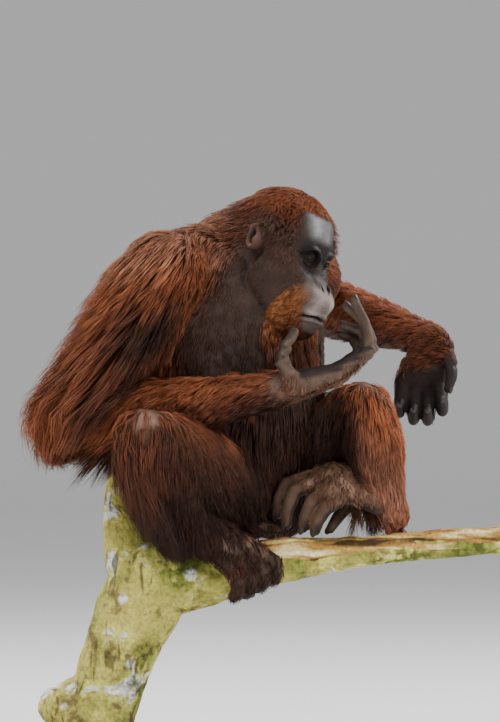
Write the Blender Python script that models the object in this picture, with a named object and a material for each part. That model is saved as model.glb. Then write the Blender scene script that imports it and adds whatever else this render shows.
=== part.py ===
"""A still, life-size orangutan sitting in the fork of a tree, held by a display stand.

Metres, +Z up. The origin lies on the floor under the middle of the stand's base.
The animal sits facing +X and -Y, with its right side toward -Y.
"""
import math
import random

import bmesh
import bpy
from mathutils import Matrix, Vector
from mathutils.bvhtree import BVHTree

# Clearance between pieces that touch
GAP = 0.0003

# Directions of the trunk of the body: its front, its left and up
FRONT = Vector((0.74, -0.67, 0.0)).normalized()
LEFT = Vector((0.67, 0.74, 0.0)).normalized()
UP = Vector((0.0, 0.0, 1.0))
BODY = Matrix((FRONT, LEFT, UP)).transposed()

# Head: middle of the eyes, and how it turns, bows and leans
EYES = Vector((0.208, -0.096, 0.857))
HEAD_TURN = math.radians(-36.6)
HEAD_BOW = math.radians(26.0)
HEAD_LEAN = math.radians(10.7)
EYE_APART = 0.048
EYE_RADIUS = 0.012

# Joints of the arms
SHOULDER_RIGHT = Vector((-0.038, -0.130, 0.842))
ELBOW_RIGHT = Vector((-0.178, -0.152, 0.595))
WRIST_RIGHT = Vector((0.148, -0.152, 0.651))
SHOULDER_LEFT = Vector((0.190, 0.130, 0.838))
ELBOW_LEFT = Vector((0.186, 0.425, 0.808))
WRIST_LEFT = Vector((0.412, 0.231, 0.732))

# Joints of the legs
HIP_RIGHT = Vector((0.056, -0.040, 0.478))
KNEE_RIGHT = Vector((-0.066, -0.251, 0.576))
ANKLE_RIGHT = Vector((0.004, -0.143, 0.426))
HIP_LEFT = Vector((0.142, 0.079, 0.482))
KNEE_LEFT = Vector((0.284, -0.033, 0.618))
ANKLE_LEFT = Vector((0.322, -0.074, 0.465))

# From each ankle to its heel
HEEL_RIGHT = Vector((-0.016, 0.006, -0.018))
HEEL_LEFT = Vector((0.016, 0.006, -0.018))

# Levels of the trunk of the body: middle, half depth, half width, half height
NECK_BASE = Vector((0.085, -0.003, 0.872))
SHOULDER_LEVEL = Vector((0.078, 0.003, 0.836))
CHEST_LEVEL = Vector((0.072, 0.010, 0.752))
WAIST_LEVEL = Vector((0.080, 0.016, 0.632))
BELLY_LEVEL = Vector((0.078, 0.030, 0.552))
PELVIS_LEVEL = Vector((0.074, 0.042, 0.480))

# Perch: the trunk's and the branch's axis with the radius at each point
TRUNK = (
    (Vector((-0.157, -0.025, 0.092)), 0.062),
    (Vector((-0.132, -0.030, 0.169)), 0.060),
    (Vector((-0.109, -0.033, 0.235)), 0.064),
    (Vector((-0.083, -0.041, 0.293)), 0.070),
    (Vector((-0.060, -0.048, 0.340)), 0.066),
)
BRANCH = (
    (Vector((-0.041, -0.053, 0.331)), 0.056),
    (Vector((0.017, -0.060, 0.340)), 0.050),
    (Vector((0.083, -0.069, 0.356)), 0.043),
    (Vector((0.153, -0.074, 0.372)), 0.038),
    (Vector((0.219, -0.074, 0.378)), 0.030),
    (Vector((0.299, -0.074, 0.386)), 0.025),
    (Vector((0.365, -0.074, 0.395)), 0.026),
    (Vector((0.520, -0.074, 0.404)), 0.025),
)
STUB = (
    (Vector((-0.096, -0.036, 0.367)), 0.046),
    (Vector((-0.119, -0.020, 0.450)), 0.026),
    (Vector((-0.116, -0.007, 0.541)), 0.017),
)
KNOT = Vector((-0.215, -0.022, 0.128))
KNOT_RADIUS = 0.036
TRUNK_END = 0.085

# Display stand
BASE_SIZE = Vector((0.62, 0.48, 0.03))
ROD_RADIUS = 0.0125
ROD_SPREAD = 0.064
ROD_MIDDLE = Vector((-0.157, -0.026, 0.0))

# Depth of the close underfur on the hairy pieces
HEAD_FUR = 0.003
BODY_FUR = 0.004
ARM_FUR = 0.007

# For each piece of the body: the grain it is rounded at and about how many faces it keeps
GRAIN = {
    "head": (0.0032, 1600), "chest": (0.010, 380), "belly": (0.010, 260), "neck": (0.008, 200),
    "thigh": (0.008, 160), "shin": (0.007, 150), "upper_arm": (0.008, 190),
    "forearm": (0.007, 170), "palm": (0.0045, 160), "sole": (0.0045, 170),
    "digit": (0.0032, 64), "ear": (0.0018, 96), "perch_trunk": (0.009, 320),
    "perch_branch": (0.007, 240), "perch_stub": (0.006, 80),
}

COLOURS = {
    "coat": ((0.20, 0.055, 0.020), 0.85),
    "skin": ((0.075, 0.055, 0.048), 0.60),
    "eye": ((0.030, 0.014, 0.008), 0.08),
    "bark": ((0.24, 0.20, 0.085), 0.90),
    "base": ((0.045, 0.045, 0.048), 0.45),
    "rod": ((0.55, 0.55, 0.56), 0.30),
}
METAL = {"rod": 1.0, "base": 0.0}


def clear_scene():
    for thing in list(bpy.data.objects):
        bpy.data.objects.remove(thing, do_unlink=True)


def material(name):
    found = bpy.data.materials.get(name)
    if found:
        return found
    made = bpy.data.materials.new(name)
    made.use_nodes = True
    shader = made.node_tree.nodes["Principled BSDF"]
    colour, roughness = COLOURS[name]
    shader.inputs["Base Color"].default_value = (*colour, 1.0)
    shader.inputs["Roughness"].default_value = roughness
    shader.inputs["Metallic"].default_value = METAL.get(name, 0.0)
    return made


def unit_ball():
    ball_mesh = bmesh.new()
    bmesh.ops.create_icosphere(ball_mesh, subdivisions=3, radius=1.0)
    points = [vertex.co.copy() for vertex in ball_mesh.verts]
    ball_mesh.free()
    return points


UNIT_BALL = unit_ball()


def ball(centre, radius, axes=None):
    """Points on a ball, or on an ellipsoid with three radii along the given axes."""
    if isinstance(radius, (int, float)):
        return [centre + point * radius for point in UNIT_BALL]
    radii = Matrix.Diagonal(Vector(radius))
    turn = (axes or Matrix.Identity(3)) @ radii
    return [centre + turn @ point for point in UNIT_BALL]


def chain(*balls):
    """Hulls that join each ball to the next, as a limb that tapers."""
    return [first + second for first, second in zip(balls, balls[1:])]


def limb(points_and_radii):
    return chain(*[ball(point, radius) for point, radius in points_and_radii])


def along(start, end, share):
    return start.lerp(end, share)


def new_object(name, mesh, slot):
    made = bpy.data.objects.new(name, mesh)
    bpy.context.collection.objects.link(made)
    mesh.materials.clear()
    mesh.materials.append(material(slot))
    return made


def mesh_of(shape):
    """Turn a bmesh into mesh data and free it."""
    mesh = bpy.data.meshes.new("shape")
    shape.to_mesh(mesh)
    shape.free()
    return mesh


def apply_modifiers(thing):
    """Replace an object's mesh by the one its modifiers give."""
    bpy.context.view_layer.update()
    graph = bpy.context.evaluated_depsgraph_get()
    result = bpy.data.meshes.new_from_object(thing.evaluated_get(graph))
    old = thing.data
    thing.modifiers.clear()
    thing.data = result
    bpy.data.meshes.remove(old)


def keep_largest(thing):
    """Keep the closed surface that encloses the most, and drop the rest."""
    shape = bmesh.new()
    shape.from_mesh(thing.data)
    shape.verts.ensure_lookup_table()
    seen = set()
    pieces = []
    for start in shape.verts:
        if start.index in seen:
            continue
        seen.add(start.index)
        stack = [start]
        piece = []
        while stack:
            vertex = stack.pop()
            piece.append(vertex)
            for edge in vertex.link_edges:
                other = edge.other_vert(vertex)
                if other.index not in seen:
                    seen.add(other.index)
                    stack.append(other)
        pieces.append(piece)
    if len(pieces) > 1:
        pieces.sort(key=span)
        for piece in pieces[:-1]:
            bmesh.ops.delete(shape, geom=piece, context="VERTS")
    shape.to_mesh(thing.data)
    shape.free()


def span(piece):
    """Size of the box round some vertices."""
    low = [min(vertex.co[axis] for vertex in piece) for axis in range(3)]
    high = [max(vertex.co[axis] for vertex in piece) for axis in range(3)]
    return math.prod(top - bottom for top, bottom in zip(high, low))


def hull_mesh(hulls):
    """One mesh of the convex hull of each list of points."""
    whole = bmesh.new()
    for points in hulls:
        shape = bmesh.new()
        corners = [shape.verts.new(point) for point in points]
        hull = bmesh.ops.convex_hull(shape, input=corners)
        inside = {item for item in hull["geom_interior"] if isinstance(item, bmesh.types.BMVert)}
        bmesh.ops.delete(shape, geom=list(inside), context="VERTS")
        part = bpy.data.meshes.new("hull")
        shape.to_mesh(part)
        shape.free()
        whole.from_mesh(part)
        bpy.data.meshes.remove(part)
    return mesh_of(whole)


def smooth(thing, rounds):
    shape = bmesh.new()
    shape.from_mesh(thing.data)
    for _ in range(rounds):
        bmesh.ops.smooth_vert(shape, verts=shape.verts, factor=0.5,
                              use_axis_x=True, use_axis_y=True, use_axis_z=True)
    shape.to_mesh(thing.data)
    shape.free()


def thin_out(thing, triangles):
    """Bring an object down to about the given number of triangles."""
    thing.data.calc_loop_triangles()
    decimate = thing.modifiers.new("thin out", "DECIMATE")
    decimate.ratio = min(1.0, triangles / len(thing.data.loop_triangles))
    decimate.use_collapse_triangulate = True
    apply_modifiers(thing)


def kind_of(name):
    """The entry of the grain table that a piece's name belongs to."""
    found = [kind for kind in GRAIN if kind in name]
    return max(found, key=len) if found else "digit"


def thin(thing):
    thin_out(thing, GRAIN[kind_of(thing.name)][1])


def flesh(name, hulls, slot, rounds=4):
    """One closed, rounded surface over the hulls, still fine."""
    thing = new_object(name, hull_mesh(hulls), slot)
    remesh = thing.modifiers.new("one skin", "REMESH")
    remesh.mode = "VOXEL"
    remesh.voxel_size = GRAIN[kind_of(name)][0]
    apply_modifiers(thing)
    smooth(thing, rounds)
    keep_largest(thing)
    return thing


def trim(thing, point, normal):
    """Cut away what lies beyond a plane and close the cut with a flat face."""
    shape = bmesh.new()
    shape.from_mesh(thing.data)
    everything = shape.verts[:] + shape.edges[:] + shape.faces[:]
    cut = bmesh.ops.bisect_plane(shape, geom=everything, dist=1e-6, plane_co=point,
                                 plane_no=normal, clear_outer=True)
    rim = [item for item in cut["geom_cut"] if isinstance(item, bmesh.types.BMEdge)]
    bmesh.ops.holes_fill(shape, edges=rim, sides=0)
    bmesh.ops.recalc_face_normals(shape, faces=shape.faces)
    bmesh.ops.triangulate(shape, faces=shape.faces)
    shape.to_mesh(thing.data)
    shape.free()


def part_at(near, far, point, normal):
    """Part two pieces at a plane that faces the far one, with the gap between."""
    normal = normal.normalized()
    trim(near, point - normal * GAP / 2, normal)
    trim(far, point + normal * GAP / 2, -normal)


# For each finished piece, its whole shape grown by the gap, which cuts the pieces made after it
CUTTERS = {}


def grown_copy(thing, distance):
    """A copy whose every face lies a little outside the original's."""
    shape = bmesh.new()
    shape.from_mesh(thing.data)
    shape.normal_update()
    steps = [vertex.normal * distance * min(vertex.calc_shell_factor(), 2.0)
             for vertex in shape.verts]
    for vertex, step in zip(shape.verts, steps):
        vertex.co += step
    copy = bpy.data.objects.new("cutter", mesh_of(shape))
    bpy.context.collection.objects.link(copy)
    copy.hide_render = True
    copy.display_type = "WIRE"
    return copy


def graph():
    bpy.context.view_layer.update()
    return bpy.context.evaluated_depsgraph_get()


def combine(thing, other, operation):
    """One Boolean step. Both meshes are closed, as this quick solver needs."""
    boolean = thing.modifiers.new(operation.lower(), "BOOLEAN")
    boolean.operation = operation
    boolean.solver = "MANIFOLD"
    boolean.object = other
    apply_modifiers(thing)


def settle(thing, neighbours):
    """Cut a piece clear of the pieces already in place, and keep its shape for later ones."""
    CUTTERS[thing.name] = grown_copy(thing, GAP * 1.2)
    for neighbour in neighbours:
        cutter = CUTTERS[neighbour.name]
        if BVHTree.FromObject(thing, graph()).overlap(BVHTree.FromObject(cutter, graph())):
            combine(thing, cutter, "DIFFERENCE")
            keep_largest(thing)


def drop_cutters():
    for cutter in CUTTERS.values():
        bpy.data.objects.remove(cutter, do_unlink=True)
    CUTTERS.clear()


def press(thing, centre, reach, push):
    """Move the surface near a point, most at the point and not at all at its reach."""
    for vertex in thing.data.vertices:
        away = (vertex.co - centre).length / reach
        if away < 1.0:
            vertex.co += push * (1.0 - away * away) ** 2
    thing.data.update()


# Head


def head_axes():
    """The head's own forward, left and up directions as the columns of a matrix."""
    forward = Vector((math.cos(HEAD_BOW) * math.cos(HEAD_TURN),
                      math.cos(HEAD_BOW) * math.sin(HEAD_TURN),
                      -math.sin(HEAD_BOW)))
    level_left = UP.cross(forward).normalized()
    left = Matrix.Rotation(-HEAD_LEAN, 3, forward) @ level_left
    return Matrix((forward, left, forward.cross(left))).transposed()


HEAD = head_axes()


def in_head(forward, left, up):
    """A place in the head, measured from the middle of the eyes."""
    return EYES + HEAD @ Vector((forward, left, up))


def head_hulls(coat):
    """Skull, brow, cheeks, muzzle and jaw, with the coat's depth on the hairy parts."""
    def lump(forward, left, up, radius):
        return ball(in_head(forward, left, up), radius, HEAD)

    hulls = [lump(-0.078, 0.0, 0.011, (0.084 + coat, 0.072 + coat, 0.076 + coat)),
             lump(-0.050, 0.0, 0.028, (0.050, 0.056, 0.050))]
    for side in (-1, 1):
        hulls += chain(lump(-0.006, 0.0, 0.013, 0.011),
                       lump(-0.010, side * 0.026, 0.017, 0.013),
                       lump(-0.026, side * 0.044, 0.006, 0.014))
        hulls.append(lump(-0.036, side * 0.042, -0.020, 0.030)
                     + lump(-0.048, side * 0.046, -0.066, 0.026 + coat)
                     + lump(0.004, side * 0.018, -0.054, 0.030)
                     + lump(0.000, side * 0.022, -0.106, 0.022 + coat))
    hulls.append(lump(-0.010, 0.0, -0.002, 0.021) + lump(0.004, 0.0, -0.032, 0.019))
    hulls.append(lump(0.004, 0.0, -0.032, 0.020) + lump(0.026, 0.014, -0.058, 0.028)
                 + lump(0.026, -0.014, -0.058, 0.028))
    hulls.append(lump(0.024, 0.016, -0.062, 0.028) + lump(0.024, -0.016, -0.062, 0.028)
                 + lump(0.026, 0.014, -0.098, 0.021) + lump(0.026, -0.014, -0.098, 0.021)
                 + lump(0.004, 0.0, -0.116, 0.020) + lump(-0.050, 0.0, -0.074, 0.034))
    return hulls


def shape_face(head):
    """Lids, nostrils, nose, the line of the mouth and the lips."""
    forward = HEAD @ Vector((1.0, 0.0, 0.0))
    for side in (-1, 1):
        eye = side * EYE_APART / 2
        press(head, in_head(0.012, eye, 0.0), 0.022, forward * -0.018)
        for step in range(-3, 4):
            across = step * 0.0032
            arch = 0.0075 - abs(step) * 0.0011
            press(head, in_head(0.003, eye + across, arch), 0.0060, forward * 0.0032)
            press(head, in_head(0.003, eye + across, -arch), 0.0055, forward * 0.0026)
        press(head, in_head(0.026, side * 0.012, -0.031), 0.009, forward * 0.004)
        press(head, in_head(0.024, side * 0.008, -0.035), 0.0065, forward * -0.007)
    for step in range(-8, 9):
        share = step / 8.0
        across = 0.042 * share
        line = -0.0800 - 0.007 * share ** 2
        front = 0.052 - 0.030 * share ** 2
        outward = HEAD @ Vector((1.0, 0.9 * share, 0.0)).normalized()
        press(head, in_head(front, across, line), 0.0085, outward * -0.0055)
        for lip in (-0.009, 0.009):
            press(head, in_head(front, across, line + lip), 0.0080, outward * 0.0022)


def build_eyes():
    eyes = []
    for name, side in (("eye_right", -1), ("eye_left", 1)):
        shape = bmesh.new()
        bmesh.ops.create_icosphere(shape, subdivisions=2, radius=EYE_RADIUS)
        bmesh.ops.translate(shape, verts=shape.verts,
                            vec=in_head(-0.005, side * EYE_APART / 2, 0.0))
        eyes.append(new_object(name, mesh_of(shape), "eye"))
    return eyes


def build_head():
    head = flesh("head", head_hulls(HEAD_FUR), "coat", rounds=6)
    shape_face(head)
    smooth(head, 1)
    thin_out_round_face(head)
    return head


def thin_out_round_face(head):
    """Thin the head out, and most where hair covers it."""
    covered = head.vertex_groups.new(name="covered")
    for vertex in head.data.vertices:
        place = HEAD.transposed() @ (vertex.co - EYES)
        share = min(max((-0.030 - place.x) / 0.030, 0.0), 1.0)
        covered.add([vertex.index], 0.15 + 0.85 * share, "REPLACE")
    head.data.calc_loop_triangles()
    decimate = head.modifiers.new("thin out", "DECIMATE")
    decimate.ratio = GRAIN["head"][1] / len(head.data.loop_triangles)
    decimate.use_collapse_triangulate = True
    decimate.vertex_group = covered.name
    decimate.vertex_group_factor = 1.5
    apply_modifiers(head)


def part_head_from_neck(head, neck):
    """A flat cut from under the back of the skull to the throat."""
    part_at(head, neck, in_head(-0.085, 0.0, -0.045), HEAD @ Vector((-0.75, 0.0, -0.66)))


def build_ear(name, side):
    """An ear with its rim and cup, set against the side of the head."""
    middle = in_head(-0.080, side * 0.076, -0.010)
    outward = HEAD @ Vector((-0.35, side * 0.94, 0.0))
    up = HEAD @ Vector((-0.12, 0.0, 0.99))
    along_head = up.cross(outward).normalized()
    axes = Matrix((along_head, up, outward)).transposed()
    disc = ball(middle, (0.0150, 0.0215, 0.0085), axes)
    root = ball(middle - outward * 0.012, (0.010, 0.016, 0.010), axes)
    ear = flesh(name, [disc + root], "skin", rounds=3)
    cup = ball(middle + outward * 0.0090, (0.0100, 0.0155, 0.0085), axes)
    cutter = new_object("cutter", hull_mesh([cup]), "skin")
    thin(ear)
    combine(ear, cutter, "DIFFERENCE")
    bpy.data.objects.remove(cutter, do_unlink=True)
    return ear


# Trunk of the body


def level(centre, depth, width, height, coat=0.0):
    return ball(centre, (depth + coat, width + coat, height + coat), BODY)


def chest_hulls(coat):
    return chain(level(SHOULDER_LEVEL, 0.088, 0.158, 0.060, coat),
                 level(CHEST_LEVEL, 0.128, 0.172, 0.080, coat),
                 level(WAIST_LEVEL, 0.126, 0.158, 0.080, coat))


def belly_hulls(coat):
    return chain(level(WAIST_LEVEL, 0.126, 0.158, 0.080, coat),
                 level(BELLY_LEVEL, 0.122, 0.160, 0.080, coat),
                 level(PELVIS_LEVEL, 0.100, 0.145, 0.072, coat))


def neck_hulls(coat):
    nape = in_head(-0.110, 0.0, 0.0)
    throat = in_head(-0.055, 0.0, -0.085)
    chin = in_head(-0.015, 0.0, -0.105)
    breast = NECK_BASE + FRONT * 0.062 - UP * 0.075
    ridges = [ball(NECK_BASE - FRONT * 0.03 - UP * 0.01, 0.052 + coat)
              + ball(along(NECK_BASE, shoulder, 0.75) + UP * 0.025, 0.034 + coat)
              for shoulder in (SHOULDER_RIGHT, SHOULDER_LEFT)]
    return (ridges
            + chain(ball(nape, 0.060 + coat), ball(NECK_BASE - FRONT * 0.02, 0.066 + coat),
                    ball(NECK_BASE - FRONT * 0.06 - UP * 0.025, 0.063 + coat))
            + chain(ball(throat, 0.052), ball(NECK_BASE + FRONT * 0.02, 0.072))
            + chain(ball(chin, 0.034), ball(breast, 0.052))
            + [ball(throat, 0.050) + ball(breast, 0.056)])


# Arms and legs


def arm_hulls(shoulder, elbow, coat):
    return limb([(shoulder, 0.060 + coat),
                 (along(shoulder, elbow, 0.30), 0.056 + coat),
                 (along(shoulder, elbow, 0.70), 0.045 + coat),
                 (elbow, 0.040 + coat)])


def forearm_hulls(elbow, wrist, coat):
    return limb([(elbow, 0.040 + coat),
                 (along(elbow, wrist, 0.25), 0.043 + coat),
                 (along(elbow, wrist, 0.60), 0.036 + coat),
                 (along(elbow, wrist, 0.90), 0.026 + coat / 2),
                 (wrist, 0.026)])


def thigh_hulls(hip, knee, coat):
    return limb([(hip, 0.074 + coat),
                 (along(hip, knee, 0.5), 0.064 + coat),
                 (knee, 0.045 + coat)])


def shin_hulls(knee, ankle, coat):
    return limb([(knee, 0.045 + coat),
                 (along(knee, ankle, 0.40), 0.047 + coat),
                 (along(knee, ankle, 0.80), 0.032 + coat),
                 (ankle, 0.028)])


def bend_normal(before, joint, after):
    """The plane that halves a bend faces from the piece before it to the one after."""
    return ((joint - before).normalized() + (after - joint).normalized()).normalized()


# Hands and feet


def digit(name, points, radii, against):
    """A finger or toe: balls at its joints, joined and rounded, cut clear of its neighbours."""
    hulls = limb(list(zip(points, radii)))
    thing = flesh(name, hulls, "skin", rounds=2)
    thin(thing)
    settle(thing, against)
    return thing


RIGHT_HAND = {
    "thumb": ((0.170, -0.170, 0.662), (0.151, -0.186, 0.694), (0.156, -0.184, 0.722),
              (0.165, -0.178, 0.742)),
    "index": ((0.236, -0.172, 0.676), (0.292, -0.173, 0.710), (0.283, -0.165, 0.757),
              (0.266, -0.158, 0.794)),
    "middle": ((0.240, -0.150, 0.674), (0.297, -0.149, 0.716), (0.281, -0.142, 0.760),
               (0.254, -0.135, 0.784)),
    "ring": ((0.238, -0.129, 0.674), (0.292, -0.124, 0.712), (0.281, -0.114, 0.742),
             (0.250, -0.110, 0.753)),
    "little": ((0.232, -0.109, 0.677), (0.278, -0.100, 0.706), (0.270, -0.090, 0.732),
               (0.245, -0.089, 0.739)),
}
LEFT_HAND = {
    "thumb": ((0.433, 0.222, 0.722), (0.443, 0.206, 0.690), (0.442, 0.194, 0.668),
              (0.436, 0.184, 0.648)),
    "index": ((0.423, 0.228, 0.662), (0.427, 0.200, 0.613), (0.425, 0.162, 0.610),
              (0.423, 0.143, 0.632)),
    "middle": ((0.402, 0.232, 0.654), (0.402, 0.204, 0.598), (0.400, 0.162, 0.594),
               (0.399, 0.140, 0.616)),
    "ring": ((0.380, 0.234, 0.654), (0.378, 0.208, 0.600), (0.376, 0.166, 0.595),
             (0.376, 0.145, 0.617)),
    "little": ((0.360, 0.234, 0.660), (0.354, 0.213, 0.614), (0.353, 0.176, 0.607),
               (0.354, 0.154, 0.626)),
}
RIGHT_FOOT = {
    "big_toe": ((0.046, -0.108, 0.404), (0.086, -0.084, 0.416), (0.120, -0.076, 0.425),
                (0.148, -0.070, 0.420)),
    "second": ((0.100, -0.112, 0.396), (0.139, -0.124, 0.368), (0.140, -0.111, 0.338),
               (0.130, -0.090, 0.325)),
    "third": ((0.088, -0.121, 0.388), (0.120, -0.130, 0.355), (0.120, -0.116, 0.327),
              (0.110, -0.095, 0.313)),
    "fourth": ((0.074, -0.129, 0.380), (0.100, -0.135, 0.344), (0.099, -0.121, 0.317),
               (0.090, -0.101, 0.304)),
    "little": ((0.058, -0.134, 0.374), (0.080, -0.138, 0.337), (0.079, -0.125, 0.311),
               (0.071, -0.106, 0.299)),
}
LEFT_FOOT = {
    "big_toe": ((0.290, -0.040, 0.472), (0.258, -0.032, 0.458), (0.242, -0.038, 0.438),
                (0.230, -0.048, 0.420)),
    "second": ((0.236, -0.050, 0.518), (0.158, -0.062, 0.495), (0.145, -0.067, 0.468),
               (0.143, -0.070, 0.446)),
    "third": ((0.238, -0.070, 0.511), (0.172, -0.082, 0.484), (0.160, -0.085, 0.452),
              (0.158, -0.084, 0.430)),
    "fourth": ((0.246, -0.088, 0.497), (0.200, -0.098, 0.468), (0.188, -0.098, 0.442),
               (0.185, -0.091, 0.424)),
    "little": ((0.258, -0.102, 0.480), (0.221, -0.111, 0.456), (0.209, -0.108, 0.436),
               (0.205, -0.098, 0.420)),
}
FINGER_RADII = (0.0125, 0.0110, 0.0095, 0.0075)
THUMB_RADII = (0.0150, 0.0120, 0.0105, 0.0080)
TOE_RADII = (0.0125, 0.0110, 0.0095, 0.0080)


def palm_hulls(wrist, digits, thickness):
    """A palm or sole: one hull from the wrist to the first joint of each of its digits."""
    roots = [Vector(digits[key][0]) for key in digits if key not in ("thumb", "big_toe")]
    hulls = [ball(wrist, 0.026) + ball(first, thickness) + ball(second, thickness)
             for first, second in zip(roots, roots[1:])]
    first_key = "thumb" if "thumb" in digits else "big_toe"
    hulls.append(ball(wrist, 0.024) + ball(Vector(digits[first_key][0]), 0.015)
                 + ball(along(wrist, roots[0], 0.6), thickness))
    return hulls


def build_hand(prefix, middle_name, digits, wrist, against, extra=()):
    """A palm or sole with its five digits, each a piece of its own."""
    palm = flesh(f"{prefix}_{middle_name}",
                 palm_hulls(wrist, digits, 0.0145) + list(extra), "skin", rounds=3)
    thin(palm)
    pieces = [palm]
    settle(palm, against)
    for key, points in digits.items():
        radii = THUMB_RADII if key in ("thumb", "big_toe") else FINGER_RADII
        if middle_name == "sole" and key != "big_toe":
            radii = TOE_RADII
        pieces.append(digit(f"{prefix}_{key}", [Vector(point) for point in points], radii,
                            list(against) + pieces))
    return pieces


# Coat: how deep a lock is rooted, how it rises, how its width runs and how thick it is

LOCK_ROOT = 0.007
LOCK_RISE = (0.55, 0.90, 1.0)
LOCK_WIDTH = (0.85, 1.0, 0.70)
LOCK_THICKNESS = 0.0080

# Where the long hair of the right arm points, past its elbow
ELBOW_FRINGE = Vector((-0.085, 0.0, -0.060))


def tangent(direction, normal):
    return (direction - normal * direction.dot(normal)).normalized()


def lock_spine(root, normal, lie, length, lift, droop, surface):
    """Points down the middle of a lock that follows the body, with the way each one faces."""
    heading = tangent(lie(root, normal), normal)
    spine = [(root - normal * LOCK_ROOT - heading * LOCK_ROOT, normal, heading)]
    place = root
    step = length / len(LOCK_RISE)
    for rise in LOCK_RISE:
        place = place + heading * step
        near, facing, _, _ = surface.find_nearest(place)
        above = (place - near).dot(facing)
        follow = 0.35 * step
        place = near + facing * max(lift * rise, above - follow)
        spine.append((place, facing, heading))
        heading = tangent(lie(place, facing), facing)
        heading = (heading + Vector((0.0, 0.0, -droop))).normalized()
    return spine


def lock_mesh(spine, width, grow=0.0):
    """A flat, tapered lock: a diamond at each point of its spine and a pointed tip."""
    shape = bmesh.new()
    rings = []
    for (place, facing, heading), share in zip(spine, LOCK_WIDTH):
        side = heading.cross(facing).normalized() * (width * share / 2 + grow)
        front = side.cross(heading).normalized() * (LOCK_THICKNESS * share / 2 + grow)
        rings.append([shape.verts.new(place + offset) for offset in (side, front, -side, -front)])
    tip = shape.verts.new(spine[-1][0] + spine[-1][2] * grow)
    shape.faces.new(rings[0])
    for first, second in zip(rings, rings[1:]):
        for corner in range(4):
            after = (corner + 1) % 4
            shape.faces.new((first[corner], first[after], second[after], second[corner]))
    for corner in range(4):
        shape.faces.new((rings[-1][corner], rings[-1][(corner + 1) % 4], tip))
    bmesh.ops.triangulate(shape, faces=shape.faces)
    bmesh.ops.recalc_face_normals(shape, faces=shape.faces)
    return shape


def spread_points(thing, spacing, draw, grows):
    """Points on a surface at least the spacing apart, with the way the surface faces there."""
    mesh = thing.data
    mesh.calc_loop_triangles()
    areas = [triangle.area for triangle in mesh.loop_triangles]
    tries = int(sum(areas) / spacing ** 2 * 14)
    chosen = []
    for triangle in draw.choices(mesh.loop_triangles, weights=areas, k=tries):
        a, b, c = (mesh.vertices[number].co for number in triangle.vertices)
        first, second = sorted((draw.random(), draw.random()))
        point = a * first + b * (second - first) + c * (1.0 - second)
        if not grows(point, triangle.normal):
            continue
        if all((point - other).length > spacing for other, _ in chosen):
            chosen.append((point, triangle.normal.copy()))
    return chosen


class Clearance:
    """Tells whether a lock stays clear of every other piece and of their locks."""

    def __init__(self, pieces):
        self.trees = {piece.name: BVHTree.FromObject(piece, graph()) for piece in pieces}
        self.locks = {}

    def clear(self, owner, shape):
        tree = BVHTree.FromBMesh(shape)
        for name, other in self.trees.items():
            if name != owner and tree.overlap(other):
                return False
        return not any(tree.overlap(other) for name, locks in self.locks.items()
                       if name != owner for other in locks)

    def add(self, owner, shape):
        self.locks.setdefault(owner, []).append(BVHTree.FromBMesh(shape))


def grow_locks(thing, coat, clearance, surface):
    """The locks of one piece, set in a seeded spread and shortened where they would touch."""
    draw = random.Random(thing.name)
    meshes = []
    for root, normal in spread_points(thing, coat["spacing"], draw, coat["grows"]):
        length = coat["length"](root) * draw.uniform(0.85, 1.15)
        width = coat["width"] * draw.uniform(0.85, 1.15)
        lift = coat["lift"](root) * draw.uniform(0.75, 1.25)
        for shorter in (1.0, 0.75, 0.55):
            spine = lock_spine(root, normal, coat["lie"], length * shorter, lift,
                               coat["droop"], surface)
            grown = lock_mesh(spine, width, GAP * 1.5)
            if clearance.clear(thing.name, grown):
                clearance.add(thing.name, grown)
                meshes.append(mesh_of(lock_mesh(spine, width)))
                grown.free()
                break
            grown.free()
    return meshes


def fuse(thing, meshes):
    """Join the locks to their piece with one Boolean union."""
    if not meshes:
        return
    gathered = bpy.data.collections.new("locks")
    bpy.context.scene.collection.children.link(gathered)
    for mesh in meshes:
        gathered.objects.link(bpy.data.objects.new("lock", mesh))
    union = thing.modifiers.new("locks", "BOOLEAN")
    union.operation = "UNION"
    union.solver = "MANIFOLD"
    union.operand_type = "COLLECTION"
    union.collection = gathered
    apply_modifiers(thing)
    for lock in list(gathered.objects):
        bpy.data.objects.remove(lock, do_unlink=True)
    bpy.data.collections.remove(gathered)
    keep_largest(thing)


def toward(goal):
    return lambda point, normal: goal - point


def away_from(start, drop):
    return lambda point, normal: (point - start).normalized() + Vector((0.0, 0.0, -drop))


def even(value):
    return lambda point: value


def ramp(start, end, near, far):
    """A value that changes evenly from one joint to the next."""
    way = end - start

    def value(point):
        share = (point - start).dot(way) / way.length_squared
        return near + (far - near) * min(max(share, 0.0), 1.0)
    return value


def back_and_sides(point, normal):
    return normal.dot(FRONT) < 0.30 and normal.z > -0.75


def off_the_throat(point, normal):
    return normal.dot(FRONT) < 0.2


def not_under(point, normal):
    return normal.z > -0.80


def hair_of_head(point, normal):
    """The crown, the nape and the beard, but not the face."""
    place = HEAD.transposed() @ (point - EYES)
    crown = place.x < -0.040 and place.z > -0.030
    beard = place.z < -0.060 and place.x < 0.012 and abs(place.y) > 0.020
    return crown or beard


def lie_on_head(point, normal):
    place = HEAD.transposed() @ (point - EYES)
    if place.z < -0.050:
        return HEAD @ Vector((0.25, 0.0, -1.0))
    crown = Vector((-0.060, 0.0, 0.100))
    return HEAD @ (place - crown + Vector((-0.02, 0.0, -0.02)))


def all_round(point, normal):
    return True


def off_the_chest(point, normal):
    return normal.x < 0.75


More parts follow.
